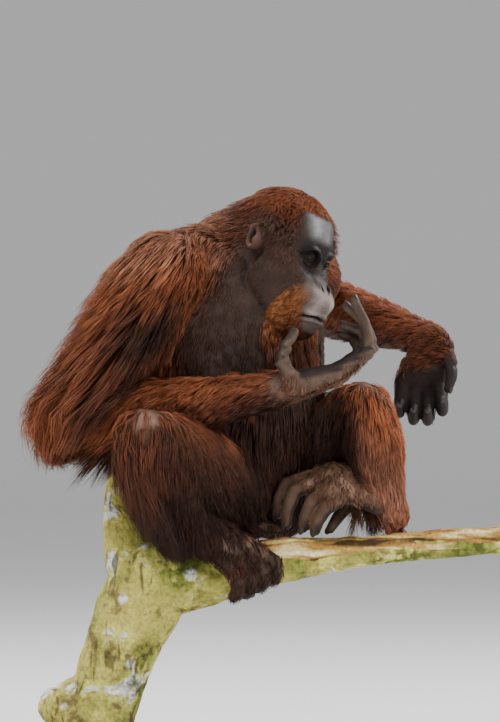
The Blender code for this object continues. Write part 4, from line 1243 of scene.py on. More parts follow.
def tone_of_face(blend, places):
    """The dark face with its pale forehead, grey muzzle, chin, and nostrils and mouth's line
    darkened as painted shade.
    """
    look = settings()
    pale = np.array(look.skin_pale)
    dark = np.array(look.skin_dark_and_shade)
    forward, left, up = to_head(places).T
    face = face_mask(places)
    blend(face, look.skin_face)
    # The bare forehead's pale skin, set toward the near side so that it is lighter there as painted
    # light
    brow = glow(left, up, (-0.011, 0.050), (0.024, 0.018), 4)
    blend(face * brow * 0.74, pale * 0.70)
    tone_of_eyes(blend, face, left, up, pale, dark)
    band = glow(left, up, (0.0, 0.019), (0.044, 0.011), 4)
    blend(face * band * 0.80, dark * 0.55)
    cheek = np.exp(-((up + 0.024) / 0.013) ** 4) * soft_step(np.abs(left), 0.008, 0.014)
    blend(face * cheek * 0.75, dark * 0.7)
    for side in (-1, 1):
        # Painted highlight on the wings of the nose
        wing = oval(left, up, (side * 0.012, -0.030), (0.014, 0.012), 0.5, 1.1)
        blend(face * wing * 0.6, RIDGE_HIGHLIGHT_SKIN)
    muzzle = glow(left, up, (0.0, -0.062), (0.037, 0.027), 4)
    blend(face * muzzle * soft_step(forward, 0.006, 0.026) * 0.92, MUZZLE)
    for side in (-1, 1):
        # Painted shade inside the nostrils
        slanted = side * (0.0098 + 0.35 * (up + 0.032))
        hole = oval(left, up, (slanted, -0.0322), (0.0046, 0.0072), 0.65, 1.15)
        blend(face * hole, dark * 0.3)
    chin = face * soft_step(-up, -MOUTH_LEVEL, -MOUTH_LEVEL + 0.012)
    blend(chin * 0.55, CHIN_SKIN)
    # Painted shade along the line between the lips
    line = np.abs(up - MOUTH_LEVEL + MOUTH_DROP * (left / MOUTH_HALF) ** 2)
    mouth = (1.0 - soft_step(line, 0.0010, 0.0032)) * (forward > 0.01)
    mouth *= 1.0 - soft_step(np.abs(left), MOUTH_HALF - 0.003, MOUTH_HALF)
    blend(mouth * (forward < FACE_REACH), dark)


def tone_of_hands(blend, places, facing):
    """Brown hands and feet, of which the palms are dark, and the hanging hand and the right foot are
    darkened as painted shade.
    """
    dark = np.array(settings().skin_dark_and_shade)
    hands = hand_mask(places)
    blend(hands * 0.92, HAND_SKIN)
    # Painted shade on the hanging hand and on the right foot
    blend(hands * near_hand(places, LEFT_HAND) * 0.93, dark)
    blend(hands * near_hand(places, RIGHT_FOOT) * 0.60, dark)
    on_foot = hands * near_hand(places, LEFT_FOOT)
    toes = digit_mask(places)
    blend(on_foot * 0.60 * (1.0 - toes), FOOT_SKIN)
    blend(on_foot * 0.80 * toes, TOE_SKIN)
    blend(palm_mask(places, facing), dark * 1.6)


def tone_of_ears(blend, places):
    """Brown ears that are dark inside."""
    for side in (-1, 1):
        middle, axes = ear_axes(side)
        ahead, high, outward = ((places - np.array(middle)) @ np.array(axes)).T
        away = np.hypot(ahead / EAR_HALF[0], high / EAR_HALF[1])
        shell = (1.0 - soft_step(away, 1.15, 1.45)) * soft_step(outward, -0.016, -0.006)
        blend(shell, EAR_RIM)
        inside = shell * (1.0 - soft_step(away, 0.40, 0.75)) * (high > -0.012)
        blend(inside, np.array(settings().skin_dark_and_shade) * 1.6)


def skin_tone(places, facing):
    """The skin's colour at each place: the coat's own, darker as painted shade under the coat, and
    that of each bare place, with some painted light and shade.
    """
    # Painted shade: the skin under the coat is a dark share of the coat's colour
    under = UNDER_COAT + UNDER_HEAD * near_head(places)
    tone = coat_tint(places, facing) * under[:, None]
    blend = painter(tone)
    blend(bib_mask(places, facing) * 0.9, BARE_CHEST)
    tone_of_face(blend, places)
    tone_of_hands(blend, places, facing)
    for centre, radius, bare in WORN_PATCHES:
        blend(patch(places, centre, radius, 0.9) * bare, WORN_SKIN)
    tone_of_ears(blend, places)
    body = (places - np.array(CHEST_LEVEL)) @ np.array(BODY)
    for side in (-1, 1):
        away = np.hypot(body[:, 1] - side * NIPPLE[0], body[:, 2] - NIPPLE[1])
        blend((1.0 - soft_step(away, 0.006, 0.012)) * (body[:, 0] > 0.0), NIPPLE_SKIN)
    return tone


def skin_material():
    shader = Shader("orangutan skin", roughness=0.58, Specular_IOR_Level=0.12)
    tone = shader.attribute("tone", "Color")
    blotch = shader.noise(36.0, 4.0)
    grain = shader.noise(520.0, 3.0)
    creases = shader.cells(560.0, stretch=(1.0, 1.0, 1.5), feature="DISTANCE_TO_EDGE")
    wrinkles = shader.noise(120.0, 4.0, stretch=(1.0, 1.0, 2.4), distortion=1.0)
    lit = shader.ramp(blotch, ((0.30, (0.66, 0.64, 0.64)), (0.72, (1.26, 1.24, 1.22))))
    colour = shader.mix(1.0, tone, lit, "MULTIPLY")
    speck = shader.ramp(grain, ((0.32, (0.80, 0.78, 0.78)), (0.70, (1.14, 1.12, 1.12))))
    shader.feed("Base Color", shader.mix(1.0, colour, speck, "MULTIPLY"))
    shader.feed("Roughness", 0.46 + 0.20 * grain)
    crease = creases.between(0.0, 0.14)
    shader.bump(crease * 0.08 + wrinkles * 0.8 + grain * 0.22, 0.0010, 0.7)
    return shader


# Coat


def unit(vectors):
    return vectors / (np.linalg.norm(vectors, axis=1)[:, None] + TINY)


def away_from(start, drop):
    """Hair that runs from a place outward and down."""
    def lie(places):
        return unit(places - np.array(start)) - np.array((0.0, 0.0, drop))
    return lie


def toward(goal):
    """Hair that runs to a place."""
    def lie(places):
        return unit(np.array(goal) - places)
    return lie


def downward(places):
    return np.tile(-UPWARD, (len(places), 1))


def on_the_head(places):
    """Down and out from the crown, and down and forward on the cheeks and jaw."""
    local = to_head(places)
    way = unit(local - np.array(CROWN))
    way[:, 2] -= 0.2
    low = soft_step(-local[:, 2], 0.030, 0.060)[:, None]
    jaw = np.column_stack([np.full(len(places), -0.45), local[:, 1] * 2.0,
                           np.full(len(places), -1.0)])
    return (way * (1.0 - low) + jaw * low) @ HEAD_TABLE.T


# Where the hair parts on the crown, in the head's directions, and over the knees, and where it
# runs to at the elbows
CROWN = (-0.075, 0.0, 0.100)
KNEE_CAP = UP * 0.05
ELBOW_FRINGE = Vector((-0.085, 0.0, -0.060))

USUAL_COAT = dict(droop=0.3, hairs=7, width=0.9, rings=2, follow=0.35)


def region(start, end, **own):
    """A region of the coat round a line, with what differs from the usual coat."""
    return {"line": (start, end), **USUAL_COAT, **own}


# Each region of the coat: the line through it with the radii at its ends, the way the hair
# lies, and at each end its length and how far it stands off. The rest is the same all over it:
# how far it droops, the spacing of its locks, the hairs in one, their width and rings, and how
# closely they follow the skin
REGIONS = {
    "head": region(in_head(-0.080, 0.0, 0.015), in_head(-0.010, 0.0, -0.070),
                   radii=(0.078, 0.066), lie=on_the_head, length=(0.016, 0.024),
                   lift=(0.0028, 0.0050), droop=0.0, grid=0.0040, hairs=9, width=0.44),
    "neck": region(in_head(-0.115, 0.0, -0.010), NECK_BASE - FRONT * 0.055 - UP * 0.02,
                   radii=(0.085, 0.092), lie=away_from(EYES, 0.5), length=(0.045, 0.060),
                   lift=(0.008, 0.011), droop=0.1, grid=0.0080),
    "chest": region(SHOULDER_LEVEL, WAIST_LEVEL, radii=(0.115, 0.150),
                    lie=away_from(NECK_BASE, 0.6), length=(0.075, 0.085),
                    lift=(0.010, 0.012), droop=0.2, grid=0.01, width=1.0),
    "belly": region(WAIST_LEVEL, PELVIS_LEVEL, radii=(0.142, 0.125), lie=downward,
                    length=(0.075, 0.075), lift=(0.010, 0.010), droop=0.2, grid=0.011,
                    width=1.0),
    "upper_arm_right": region(SHOULDER_RIGHT, ELBOW_RIGHT, radii=(0.060, 0.040),
                              lie=toward(ELBOW_RIGHT + ELBOW_FRINGE), length=(0.075, 0.150),
                              lift=(0.022, 0.042), droop=0.10, grid=0.0084, width=1.05,
                              rings=3, follow=0.3),
    "forearm_right": region(WRIST_RIGHT, ELBOW_RIGHT, radii=(0.026, 0.042),
                            lie=toward(ELBOW_RIGHT + Vector((-0.03, -0.03, -0.10))),
                            length=(0.034, 0.095), lift=(0.004, 0.016), droop=0.10,
                            grid=0.007, follow=0.3),
    "upper_arm_left": region(SHOULDER_LEFT, ELBOW_LEFT, radii=(0.060, 0.040),
                             lie=toward(ELBOW_LEFT + Vector((0.0, 0.05, -0.10))),
                             length=(0.070, 0.085), lift=(0.010, 0.014), grid=0.0095,
                             width=1.0),
    "forearm_left": region(WRIST_LEFT, ELBOW_LEFT, radii=(0.026, 0.042),
                           lie=toward(ELBOW_LEFT + Vector((0.0, 0.03, -0.12))),
                           length=(0.030, 0.080), lift=(0.004, 0.013), grid=0.0085),
    "thigh_right": region(HIP_RIGHT, KNEE_RIGHT, radii=(0.074, 0.048),
                          lie=away_from(KNEE_RIGHT + KNEE_CAP, 0.5), length=(0.075, 0.060),
                          lift=(0.009, 0.007), grid=0.0084, follow=0.20),
    "shin_right": region(KNEE_RIGHT, ANKLE_RIGHT, radii=(0.046, 0.030),
                         lie=away_from(KNEE_RIGHT + KNEE_CAP, 0.6), length=(0.080, 0.050),
                         lift=(0.009, 0.007), droop=0.35, grid=0.0072, rings=3, follow=0.15),
    "thigh_left": region(HIP_LEFT, KNEE_LEFT, radii=(0.074, 0.048),
                         lie=away_from(KNEE_LEFT + KNEE_CAP, 0.5), length=(0.080, 0.055),
                         lift=(0.009, 0.007), grid=0.009, follow=0.2),
    "shin_left": region(KNEE_LEFT, ANKLE_LEFT, radii=(0.046, 0.030),
                        lie=away_from(KNEE_LEFT + KNEE_CAP, 0.6), length=(0.062, 0.038),
                        lift=(0.007, 0.004), droop=0.35, grid=0.0070, width=0.85, follow=0.25),
}

# How far two regions blend where they meet, as a share of their radii
REGION_BLEND = 0.12

# A tuft of two or of three rings: how it rises along its length, how its width runs, how far
# its strands draw together, how flat it is, how deep its root sits, and how many fill a piece
TUFT_RISE = {2: np.array((0.0, 0.75, 1.0)), 3: np.array((0.0, 0.55, 0.90, 1.0))}
TUFT_WIDTH = {2: np.array((0.85, 1.0)), 3: np.array((0.80, 1.0, 0.70))}
TUFT_GATHER = {2: np.array((1.0, 0.75, 0.45)), 3: np.array((1.0, 0.85, 0.60, 0.40))}
TUFT_FLATNESS = 0.35
TUFT_ROOT = 0.0015
PIECE_TUFTS = {2: 19500, 3: 12200}

# The places drawn on the skin, large primes that tell the cells of a grid apart, the least
# density that still grows hair, and the width of the patch that each strand bakes on
DRAWN_PLACES = 320000
CELL_KEYS = np.array((73856093, 19349663, 83492791))
BARE = 0.04
BAKE_PATCH = 0.003

# How far the fringe beside the forehead stands out, and the hair that hangs free: its greatest
# and least length, how far it droops and how deep its tips may reach into the wood
FRINGE_LIFT = 0.011
HANG_LENGTH = 0.125
HANG_LEAST = 0.025
HANG_DROOP = 1.2
INTO_WOOD = 0.030

# Height of the wood under the legs, along the branch
WOOD_TOP = ((-0.13, 0.405), (-0.066, 0.400), (0.0, 0.402), (0.10, 0.402), (0.20, 0.412),
            (0.35, 0.424))


class Spread:
    """What the coat does at each of some places, blended from the regions near it."""

    def __init__(self, places):
        self.places = places
        reach = []
        shares = []
        for region in REGIONS.values():
            away, share = near_line(places, *region["line"])
            near, far = region["radii"]
            reach.append(away / (near + (far - near) * share))
            shares.append(share)
        reach = np.array(reach)
        self.shares = np.array(shares)
        self.owner = reach.argmin(axis=0)
        weights = np.exp(-((reach - reach.min(axis=0)) / REGION_BLEND) ** 2)
        self.weights = weights / weights.sum(axis=0)

    def value(self, key):
        ends = np.array([region[key] for region in REGIONS.values()])
        if ends.ndim == 1:
            return self.weights.T @ ends
        values = ends[:, :1] + (ends[:, 1:] - ends[:, :1]) * self.shares
        return (self.weights * values).sum(axis=0)

    def lie(self):
        way = np.zeros_like(self.places)
        for weight, region in zip(self.weights, REGIONS.values()):
            used = weight > 0.01
            way[used] += weight[used, None] * region["lie"](self.places[used])
        return way


def flatten(ways, facing):
    """The part of some directions that runs along the surface."""
    return unit(ways - (ways * facing).sum(axis=1)[:, None] * facing)


def thickness_of_coat(places, facing):
    """How dense the coat is: 0 where the skin is bare and 1 where it is full."""
    dense = 1.0 - soft_step(face_mask(places), 0.05, 0.75)
    dense *= 1.0 - 0.45 * bib_mask(places, facing)
    hands = soft_step(hand_mask(places), 0.25, 0.80)
    toes = digit_mask(places) * (1.0 - 0.75 * near_hand(places, RIGHT_FOOT))
    bare = np.maximum(toes, palm_mask(places, facing))
    dense *= 1.0 - hands * (0.30 + 0.70 * bare)
    for side in (-1, 1):
        dense *= 1.0 - patch(places, ear_axes(side)[0], 0.022, 0.1)
    for centre, radius, bare in WORN_PATCHES:
        dense *= 1.0 - bare * patch(places, centre, radius, 0.9)
    return dense


def shortening(places, facing, dense):
    """How far the hair is shortened: on the face's sides, throat, chest, hands and feet."""
    short = 0.45 + 0.55 * dense
    short *= 1.0 - 0.68 * bib_mask(places, facing)
    short *= 1.0 - 0.55 * soft_step(hand_mask(places), 0.0, 0.9)
    forward, left, up = to_head(places).T
    below = soft_step(-up, 0.060, 0.110)
    short *= 1.0 - 0.45 * near_head(places) * below * (1.0 - 0.6 * jaw_mask(places))
    arm, down = near_line(places, SHOULDER_RIGHT, ELBOW_RIGHT)
    inner = soft_step(facing[:, 0], 0.25, 0.75) * (1.0 - soft_step(arm, 0.075, 0.100))
    short *= 1.0 - 0.62 * inner * (1.0 - soft_step(down, 0.45, 0.75))
    arm, down = near_line(places, SHOULDER_LEFT, ELBOW_LEFT)
    short *= 1.0 - 0.60 * (1.0 - soft_step(arm, 0.075, 0.100)) * (1.0 - soft_step(down, 0.5, 0.8))
    side = soft_step(np.abs(left), 0.020, 0.045) * soft_step(forward, -0.125, -0.095)
    return short * (1.0 - 0.40 * near_head(places) * side * (1.0 - jaw_mask(places)))


def hang_mask(places, facing):
    """1 where long hair hangs free: behind the right knee and shin, and below the left leg."""
    right = 1.0 - soft_step(near_limb(places, HIP_RIGHT, KNEE_RIGHT, ANKLE_RIGHT), 0.080, 0.105)
    right *= soft_step(-facing @ np.array((0.90, 0.0, 0.43)), -0.05, 0.55)
    right *= 1.0 - soft_step(places[:, 0], -0.02, 0.05)
    left = by_line(places, KNEE_LEFT, ANKLE_LEFT, 0.060, 0.085)
    left *= soft_step(-facing @ np.array((0.60, -0.50, 0.62)), 0.0, 0.5)
    left *= 1.0 - soft_step(places[:, 2], 0.55, 0.59)
    return np.maximum(right, left)


def fringe_mask(places):
    """1 beside the forehead, where the hair stands out round the face."""
    forward, left, up = to_head(places).T
    beside = soft_step(np.abs(left), 0.032, 0.046) * soft_step(forward, -0.085, -0.050)
    return beside * soft_step(up, 0.000, 0.025) * near_head(places)


def scatter(skin, draw):
    """Many even draws over the skin, and the way it faces at each."""
    mesh = skin.data
    mesh.calc_loop_triangles()
    corners = read_out(mesh.loop_triangles, "vertices", 3, int)
    areas = read_out(mesh.loop_triangles, "area", 1)[:, 0]
    picked = draw.choice(len(areas), size=DRAWN_PLACES, p=areas / areas.sum())
    first, second = np.sort(draw.random((2, len(picked))), axis=0)
    shares = np.column_stack([first, second - first, 1.0 - second])[:, :, None]
    where = (points_of(skin)[corners[picked]] * shares).sum(axis=1)
    turned = unit((normals_of(skin)[corners[picked]] * shares).sum(axis=1))
    return where, turned


def one_per_cell(places, size):
    """The first place in each cell of a grid."""
    cells = np.floor(places / size).astype(np.int64)
    keys = np.bitwise_xor.reduce(cells * CELL_KEYS, axis=1)
    _, first = np.unique(keys, return_index=True)
    return np.sort(first)


def guide_paths(surface, places, facing, lengths, lifts, droops, follow, rings):
    """For each lock: points along it, and the heading and facing at each."""
    heading = flatten(Spread(places).lie(), facing)
    sink = np.clip(droops - 0.5, 0.0, None)[:, None]
    heading = unit(heading - sink * UPWARD)
    paths = [places]
    headings = [heading]
    facings = [facing]
    step = (lengths / rings)[:, None]
    for rise in TUFT_RISE[rings][1:]:
        ahead = places + heading * step
        near = np.empty_like(ahead)
        turned = np.empty_like(ahead)
        for number, place in enumerate(ahead):
            found, normal, _, _ = surface.find_nearest(Vector(place))
            near[number] = found
            turned[number] = normal
        above = ((ahead - near) * turned).sum(axis=1)
        height = np.maximum(lifts * rise, above - follow * step[:, 0])
        places = near + turned * height[:, None]
        facings.append(unit(facings[-1] + turned))
        heading = flatten(Spread(places).lie(), turned)
        heading = unit(heading - droops[:, None] * UPWARD)
        headings.append(heading)
        paths.append(places)
    return np.stack(paths, axis=1), np.stack(headings, axis=1), np.stack(facings, axis=1)


class Tufts:
    """Tapered strands as arrays: their points along them, sides, facings and shades."""

    def __init__(self, paths, sides, facings, widths, shades, patches):
        self.paths = paths
        self.sides = sides
        self.facings = facings
        self.widths = widths
        self.shades = shades
        self.patches = patches

    def split(self, pieces):
        """The strands in a few even shares, from the lowest root to the highest."""
        order = np.argsort(self.paths[:, 0, 2])
        return [Tufts(*[values[share] for values in (self.paths, self.sides, self.facings,
                                                     self.widths, self.shades, self.patches)])
                for share in np.array_split(order, pieces)]

    def mesh(self, name):
        """One mesh of closed strands: three-sided rings and a tip each."""
        count = len(self.paths)
        rings = self.paths.shape[1] - 1
        half = self.widths[:, None] * TUFT_WIDTH[rings][None, :] / 2
        side = self.sides[:, :rings] * half[:, :, None]
        top = self.facings[:, :rings] * (half * TUFT_FLATNESS)[:, :, None]
        centre = self.paths[:, :rings]
        ring_points = np.stack([centre + side - top, centre + top * 1.4, centre - side - top],
                               axis=2)
        tips = self.paths[:, -1:]
        points = np.concatenate([ring_points.reshape(count, rings * 3, 3), tips], axis=1)
        per_tuft = rings * 3 + 1
        faces = [(0, 2, 1)]
        for ring in range(rings - 1):
            low = ring * 3
            for corner in range(3):
                after = (corner + 1) % 3
                faces.append((low + corner, low + after, low + 3 + after))
                faces.append((low + corner, low + 3 + after, low + 3 + corner))
        low = (rings - 1) * 3
        faces += [(low + corner, low + (corner + 1) % 3, per_tuft - 1) for corner in range(3)]
        faces = np.array(faces)
        starts = np.arange(count)[:, None, None] * per_tuft
        triangles = (faces[None] + starts).reshape(-1, 3)
        mesh = bpy.data.meshes.new(name)
        mesh.vertices.add(count * per_tuft)
        mesh.vertices.foreach_set("co", points.ravel())
        mesh.loops.add(len(triangles) * 3)
        mesh.loops.foreach_set("vertex_index", triangles.ravel())
        mesh.polygons.add(len(triangles))
        mesh.polygons.foreach_set("loop_start", np.arange(len(triangles)) * 3)
        mesh.update(calc_edges=True)
        self.add_shades(mesh, rings, per_tuft)
        self.add_patches(mesh, triangles, rings, per_tuft)
        mesh.polygons.foreach_set("use_smooth", np.ones(len(triangles), dtype=bool))
        return mesh

    def add_shades(self, mesh, rings, per_tuft):
        """Store how far along each point is, the strand's own shade and its place's colour."""
        share = np.append(np.repeat(np.arange(rings) / rings, 3), 1.0)
        count = len(self.paths)
        hair = np.ones((count, per_tuft, 4))
        hair[:, :, 0] = share
        hair[:, :, 1] = self.shades[:, :1]
        tint = np.ones((count, per_tuft, 4))
        tint[:, :, :3] = self.shades[:, None, 1:4]
        for name, values in (("hair", hair), ("tint", tint)):
            layer = mesh.color_attributes.new(name, "FLOAT_COLOR", "POINT")
            layer.data.foreach_set("color", values.ravel())

    def add_patches(self, mesh, triangles, rings, per_tuft):
        """Each strand bakes on a small patch at its root's place on the skin's unwrap."""
        layer = mesh.uv_layers.new(name="OFBake")
        corner = np.arange(per_tuft)
        across = np.where(corner == per_tuft - 1, 0.5, (corner % 3) / 2.0)
        upward = np.where(corner == per_tuft - 1, 1.0, (corner // 3) / rings)
        local = triangles.ravel() % per_tuft
        owner = triangles.ravel() // per_tuft
        spots = self.patches[owner]
        spots = spots + np.column_stack([across[local], upward[local]]) * BAKE_PATCH
        layer.uv.foreach_set("vector", spots.ravel())


def unwrap(skin):
    """Unwrap the skin's own shape."""
    bpy.context.view_layer.objects.active = skin
    skin.select_set(True)
    skin.data.uv_layers.new(name="OFBake")
    bpy.ops.object.mode_set(mode="EDIT")
    bpy.ops.mesh.select_all(action="SELECT")
    bpy.ops.uv.smart_project(angle_limit=math.radians(66), island_margin=0.004)
    bpy.ops.object.mode_set(mode="OBJECT")
    skin.select_set(False)


def root_patches(skin, surface, roots):
    """Where each root lies on the skin's unwrap."""
    corners = read_out(skin.data.uv_layers["OFBake"].uv, "vector", 2)
    starts = read_out(skin.data.polygons, "loop_start", 1, int)[:, 0]
    found = np.array([surface.find_nearest(Vector(root))[2] for root in roots], dtype=int)
    return corners[starts[found]]


def size_hair(spread, places, facing, short, hang, draw):
    """The length of each lock and how far it stands off the skin."""
    lengths = spread.value("length") * settings().hair_length
    lengths = lengths * draw.uniform(0.75, 1.15, len(places)) * short
    room = places[:, 2] - np.interp(places[:, 0], *zip(*WOOD_TOP)) + INTO_WOOD
    room = np.clip(room, HANG_LEAST, HANG_LENGTH)
    lengths += hang * (room * draw.uniform(0.75, 1.10, len(places)) - lengths)
    lifts = spread.value("lift") * draw.uniform(0.5, 1.3, len(places)) * short
    lifts *= 1.0 - 0.35 * jaw_mask(places) * near_head(places)
    on_top = soft_step(facing[:, 2], 0.45, 0.90) * patch(places, SHOULDER_RIGHT, 0.130, 0.4)
    lifts *= 1.0 - 0.60 * on_top
    lifts += fringe_mask(places) * FRINGE_LIFT * draw.uniform(0.5, 1.2, len(places))
    return lengths, lifts


def part_locks(paths, headings, facings, owner, lengths, lifts, grid, draw):
    """The strands of each lock, spread at the root and drawn together at the tip."""
    rings = paths.shape[1] - 1
    count = len(owner)
    spin = draw.uniform(0, math.tau, count)
    reach = np.sqrt(draw.random(count)) * grid * 0.75
    aside = np.cos(spin) * reach
    ahead = np.sin(spin) * reach
    strands = paths[owner].copy()
    heading = headings[owner]
    facing = facings[owner]
    sides = unit(np.cross(heading.reshape(-1, 3), facing.reshape(-1, 3))).reshape(strands.shape)
    flare = draw.normal(0.0, 1.0, (count, 1)) * lengths[owner, None] * 0.045
    for joint, gather in enumerate(TUFT_GATHER[rings]):
        drift = aside * gather
        strands[:, joint] += sides[:, joint] * (drift[:, None] + flare * joint / rings)
        strands[:, joint] += heading[:, joint] * ahead[:, None]
    stand = draw.uniform(-0.25, 0.45, (count, 1)) * lifts[owner, None]
    for joint in range(1, rings + 1):
        strands[:, joint] += facing[:, joint] * stand * joint / rings
    shorter = draw.uniform(0.70, 1.0, count)[:, None]
    strands[:, -1] = strands[:, -2] + (strands[:, -1] - strands[:, -2]) * shorter
    strands[:, 0] -= facing[:, 0] * TUFT_ROOT
    return strands, sides, facing


def grow_region(skin, surface, coat, places, facing, dense, draw):
    """The strands of one region, gathered in locks that draw together at their tips."""
    spread = Spread(places)
    short = shortening(places, facing, dense)
    hang = hang_mask(places, facing)
    lengths, lifts = size_hair(spread, places, facing, short, hang, draw)
    droops = spread.value("droop") + hang * HANG_DROOP
    follow = spread.value("follow") * (1.0 - hang)
    guides = guide_paths(surface, places, facing, lengths, lifts, droops, follow, coat["rings"])
    owner = np.repeat(np.arange(len(places)), coat["hairs"])
    owner = owner[draw.random(len(owner)) < dense[owner]]
    count = len(owner)
    strands, sides, facings = part_locks(*guides, owner, lengths, lifts, coat["grid"], draw)
    widths = settings().hair_width * spread.value("width")[owner] * draw.uniform(0.65, 1.15, count)
    widths *= 0.55 + 0.45 * short[owner]
    tone = np.clip(draw.normal(0.5, 0.16, len(places))[owner] + draw.normal(0, 0.14, count), 0, 1)
    tints = coat_tint(places, facing)[owner]
    patches = root_patches(skin, surface, places)[owner]
    return Tufts(strands, sides, facings, widths, np.column_stack([tone, tints]), patches)


def coat_material():
    shader = Shader("orangutan hair", roughness=0.6, Specular_IOR_Level=0.20)
    share, tone, _ = shader.channels("hair")
    tint = shader.attribute("tint", "Color")
    # Painted shade: roots darkened deep in the coat; the tips lighter, partly worn ends and partly
    # painted light
    length = shader.ramp(share, ((0.0, (0.32, 0.28, 0.29)), (0.40, (0.90, 0.86, 0.86)),
                                 (1.0, (1.55, 1.48, 1.38))))
    own = shader.ramp(tone, ((0.10, (0.62, 0.58, 0.58)), (0.90, (1.42, 1.40, 1.36))))
    broad = shader.ramp(shader.noise(13.0, 2.0), ((0.30, (0.75, 0.73, 0.74)),
                                                  (0.70, (1.22, 1.22, 1.20))))
    colour = shader.mix(1.0, tint, length, "MULTIPLY")
    colour = shader.mix(1.0, colour, own, "MULTIPLY")
    shader.feed("Base Color", shader.mix(1.0, colour, broad, "MULTIPLY"))
    shader.feed("Roughness", 0.52 + 0.20 * tone)
    return shader


def build_coat(skin):
    draw = np.random.default_rng(settings().seed)
    bpy.context.view_layer.update()
    surface = BVHTree.FromObject(skin, bpy.context.evaluated_depsgraph_get())
    places, facing = scatter(skin, draw)
    owner = Spread(places).owner
    shader = coat_material()
    for number, (name, coat) in enumerate(REGIONS.items()):
        mine = np.nonzero(owner == number)[0]
        mine = mine[one_per_cell(places[mine], coat["grid"])]
        dense = thickness_of_coat(places[mine], facing[mine])
        mine = mine[dense > BARE]
        dense = dense[dense > BARE]
        tufts = grow_region(skin, surface, coat, places[mine], facing[mine], dense, draw)
        pieces = math.ceil(len(tufts.paths) / PIECE_TUFTS[coat["rings"]])
        for piece, share in enumerate(tufts.split(pieces)):
            label = f"coat_{name}_{piece + 1}"
            finish_piece(new_object(label, share.mesh(label)), shader, "coat")


# Eyes and nails


def eye_material():
    look = settings()
    shader = Shader("orangutan eye", roughness=0.06, Specular_IOR_Level=0.05)
    away = shader.attribute("from_pupil")
    streaks = shader.noise(900.0, 2.0)
    iris = shader.mix(streaks, tuple(value * 0.5 for value in look.eye_brown),
                      tuple(value * 1.6 for value in look.eye_brown))
    colour = shader.mix(away.between(0.185, 0.20), (0.002, 0.002, 0.002), iris)
    colour = shader.mix(away.between(0.44, 0.50), colour, (0.010, 0.007, 0.005))
    shader.feed("Base Color", colour)
    return shader


def build_eyes():
    """Two eyeballs, each with a raised cornea, looking the way the head faces."""
    shader = eye_material()
    gaze = HEAD @ Vector((1.0, 0.0, -0.06)).normalized()
    for name, side in (("eye_right", -1), ("eye_left", 1)):
        shape = bmesh.new()
        bmesh.ops.create_uvsphere(shape, u_segments=48, v_segments=64, radius=EYE_RADIUS)
        turn = Vector((0.0, 0.0, 1.0)).rotation_difference(gaze).to_matrix()
        bmesh.ops.rotate(shape, verts=shape.verts, matrix=turn)
        centre = in_head(-EYE_BACK, side * EYE_APART / 2, 0.0)
        angles = []
        for vertex in shape.verts:
            angle = vertex.co.angle(gaze)
            angles.append(angle)
            bulge = max(0.0, 1.0 - (angle / 0.55) ** 2)
            vertex.co *= 1.0 + 0.05 * bulge
        bmesh.ops.translate(shape, verts=shape.verts, vec=centre)
        eye = new_object(f"{name}_ball", mesh_of(shape))
        layer = eye.data.attributes.new("from_pupil", "FLOAT", "POINT")
        layer.data.foreach_set("value", angles)
        eye.data.shade_smooth()
        finish_piece(eye, shader, "eye", name)


def nail_material():
    shader = Shader("nail", roughness=0.42, Specular_IOR_Level=0.3)
    ridges = shader.noise(260.0, 2.0)
    shader.feed("Base Color", shader.mix(ridges, (0.014, 0.011, 0.009), (0.042, 0.033, 0.028)))
    shader.bump(ridges, 0.0003, 0.5)
    return shader


def add_nail(whole, surface, points, radius):
    """A curved plate on the back of a digit's end, with its edge past the tip."""
    before, joint, tip = [Vector(point) for point in points]
    way = (tip - joint).normalized()
    bend = (joint - before).normalized()
    back = bend - way * bend.dot(way)
    back = back.normalized() if back.length > 0.05 else -FRONT
    side = way.cross(back).normalized()
    start = tip + back * NAIL_SEARCH
    hit = surface.ray_cast(start, -back)[0]
    if hit is None or (hit - tip).length > 2.0 * radius:
        hit = tip + back * radius
    long = radius * NAIL_SIZE[0]
    wide = radius * NAIL_SIZE[1]
    shape = bmesh.new()
    bmesh.ops.create_icosphere(shape, subdivisions=3, radius=1.0)
    for vertex in shape.verts:
        ahead = vertex.co.x * long
        across = vertex.co.y * wide
        drop = across ** 2 / (1.6 * radius) + max(ahead, 0.0) ** 2 / (3.5 * radius)
        height = vertex.co.z * NAIL_THICKNESS - drop
        vertex.co = hit + way * (ahead + radius * 0.20) + side * across + back * height
    join_into(whole, shape)


def build_nails(skin):
    whole = bmesh.new()
    surface = BVHTree.FromObject(skin, bpy.context.evaluated_depsgraph_get())
    for digits, _ in HANDS:
        for key, points in digits.items():
            add_nail(whole, surface, points[1:], digit_radii(key, digits)[-1])
    bmesh.ops.recalc_face_normals(whole, faces=whole.faces)
    nails = new_object("nails", mesh_of(whole))
    nails.data.shade_smooth()
    finish_piece(nails, nail_material(), "skin")


# Perch and stand


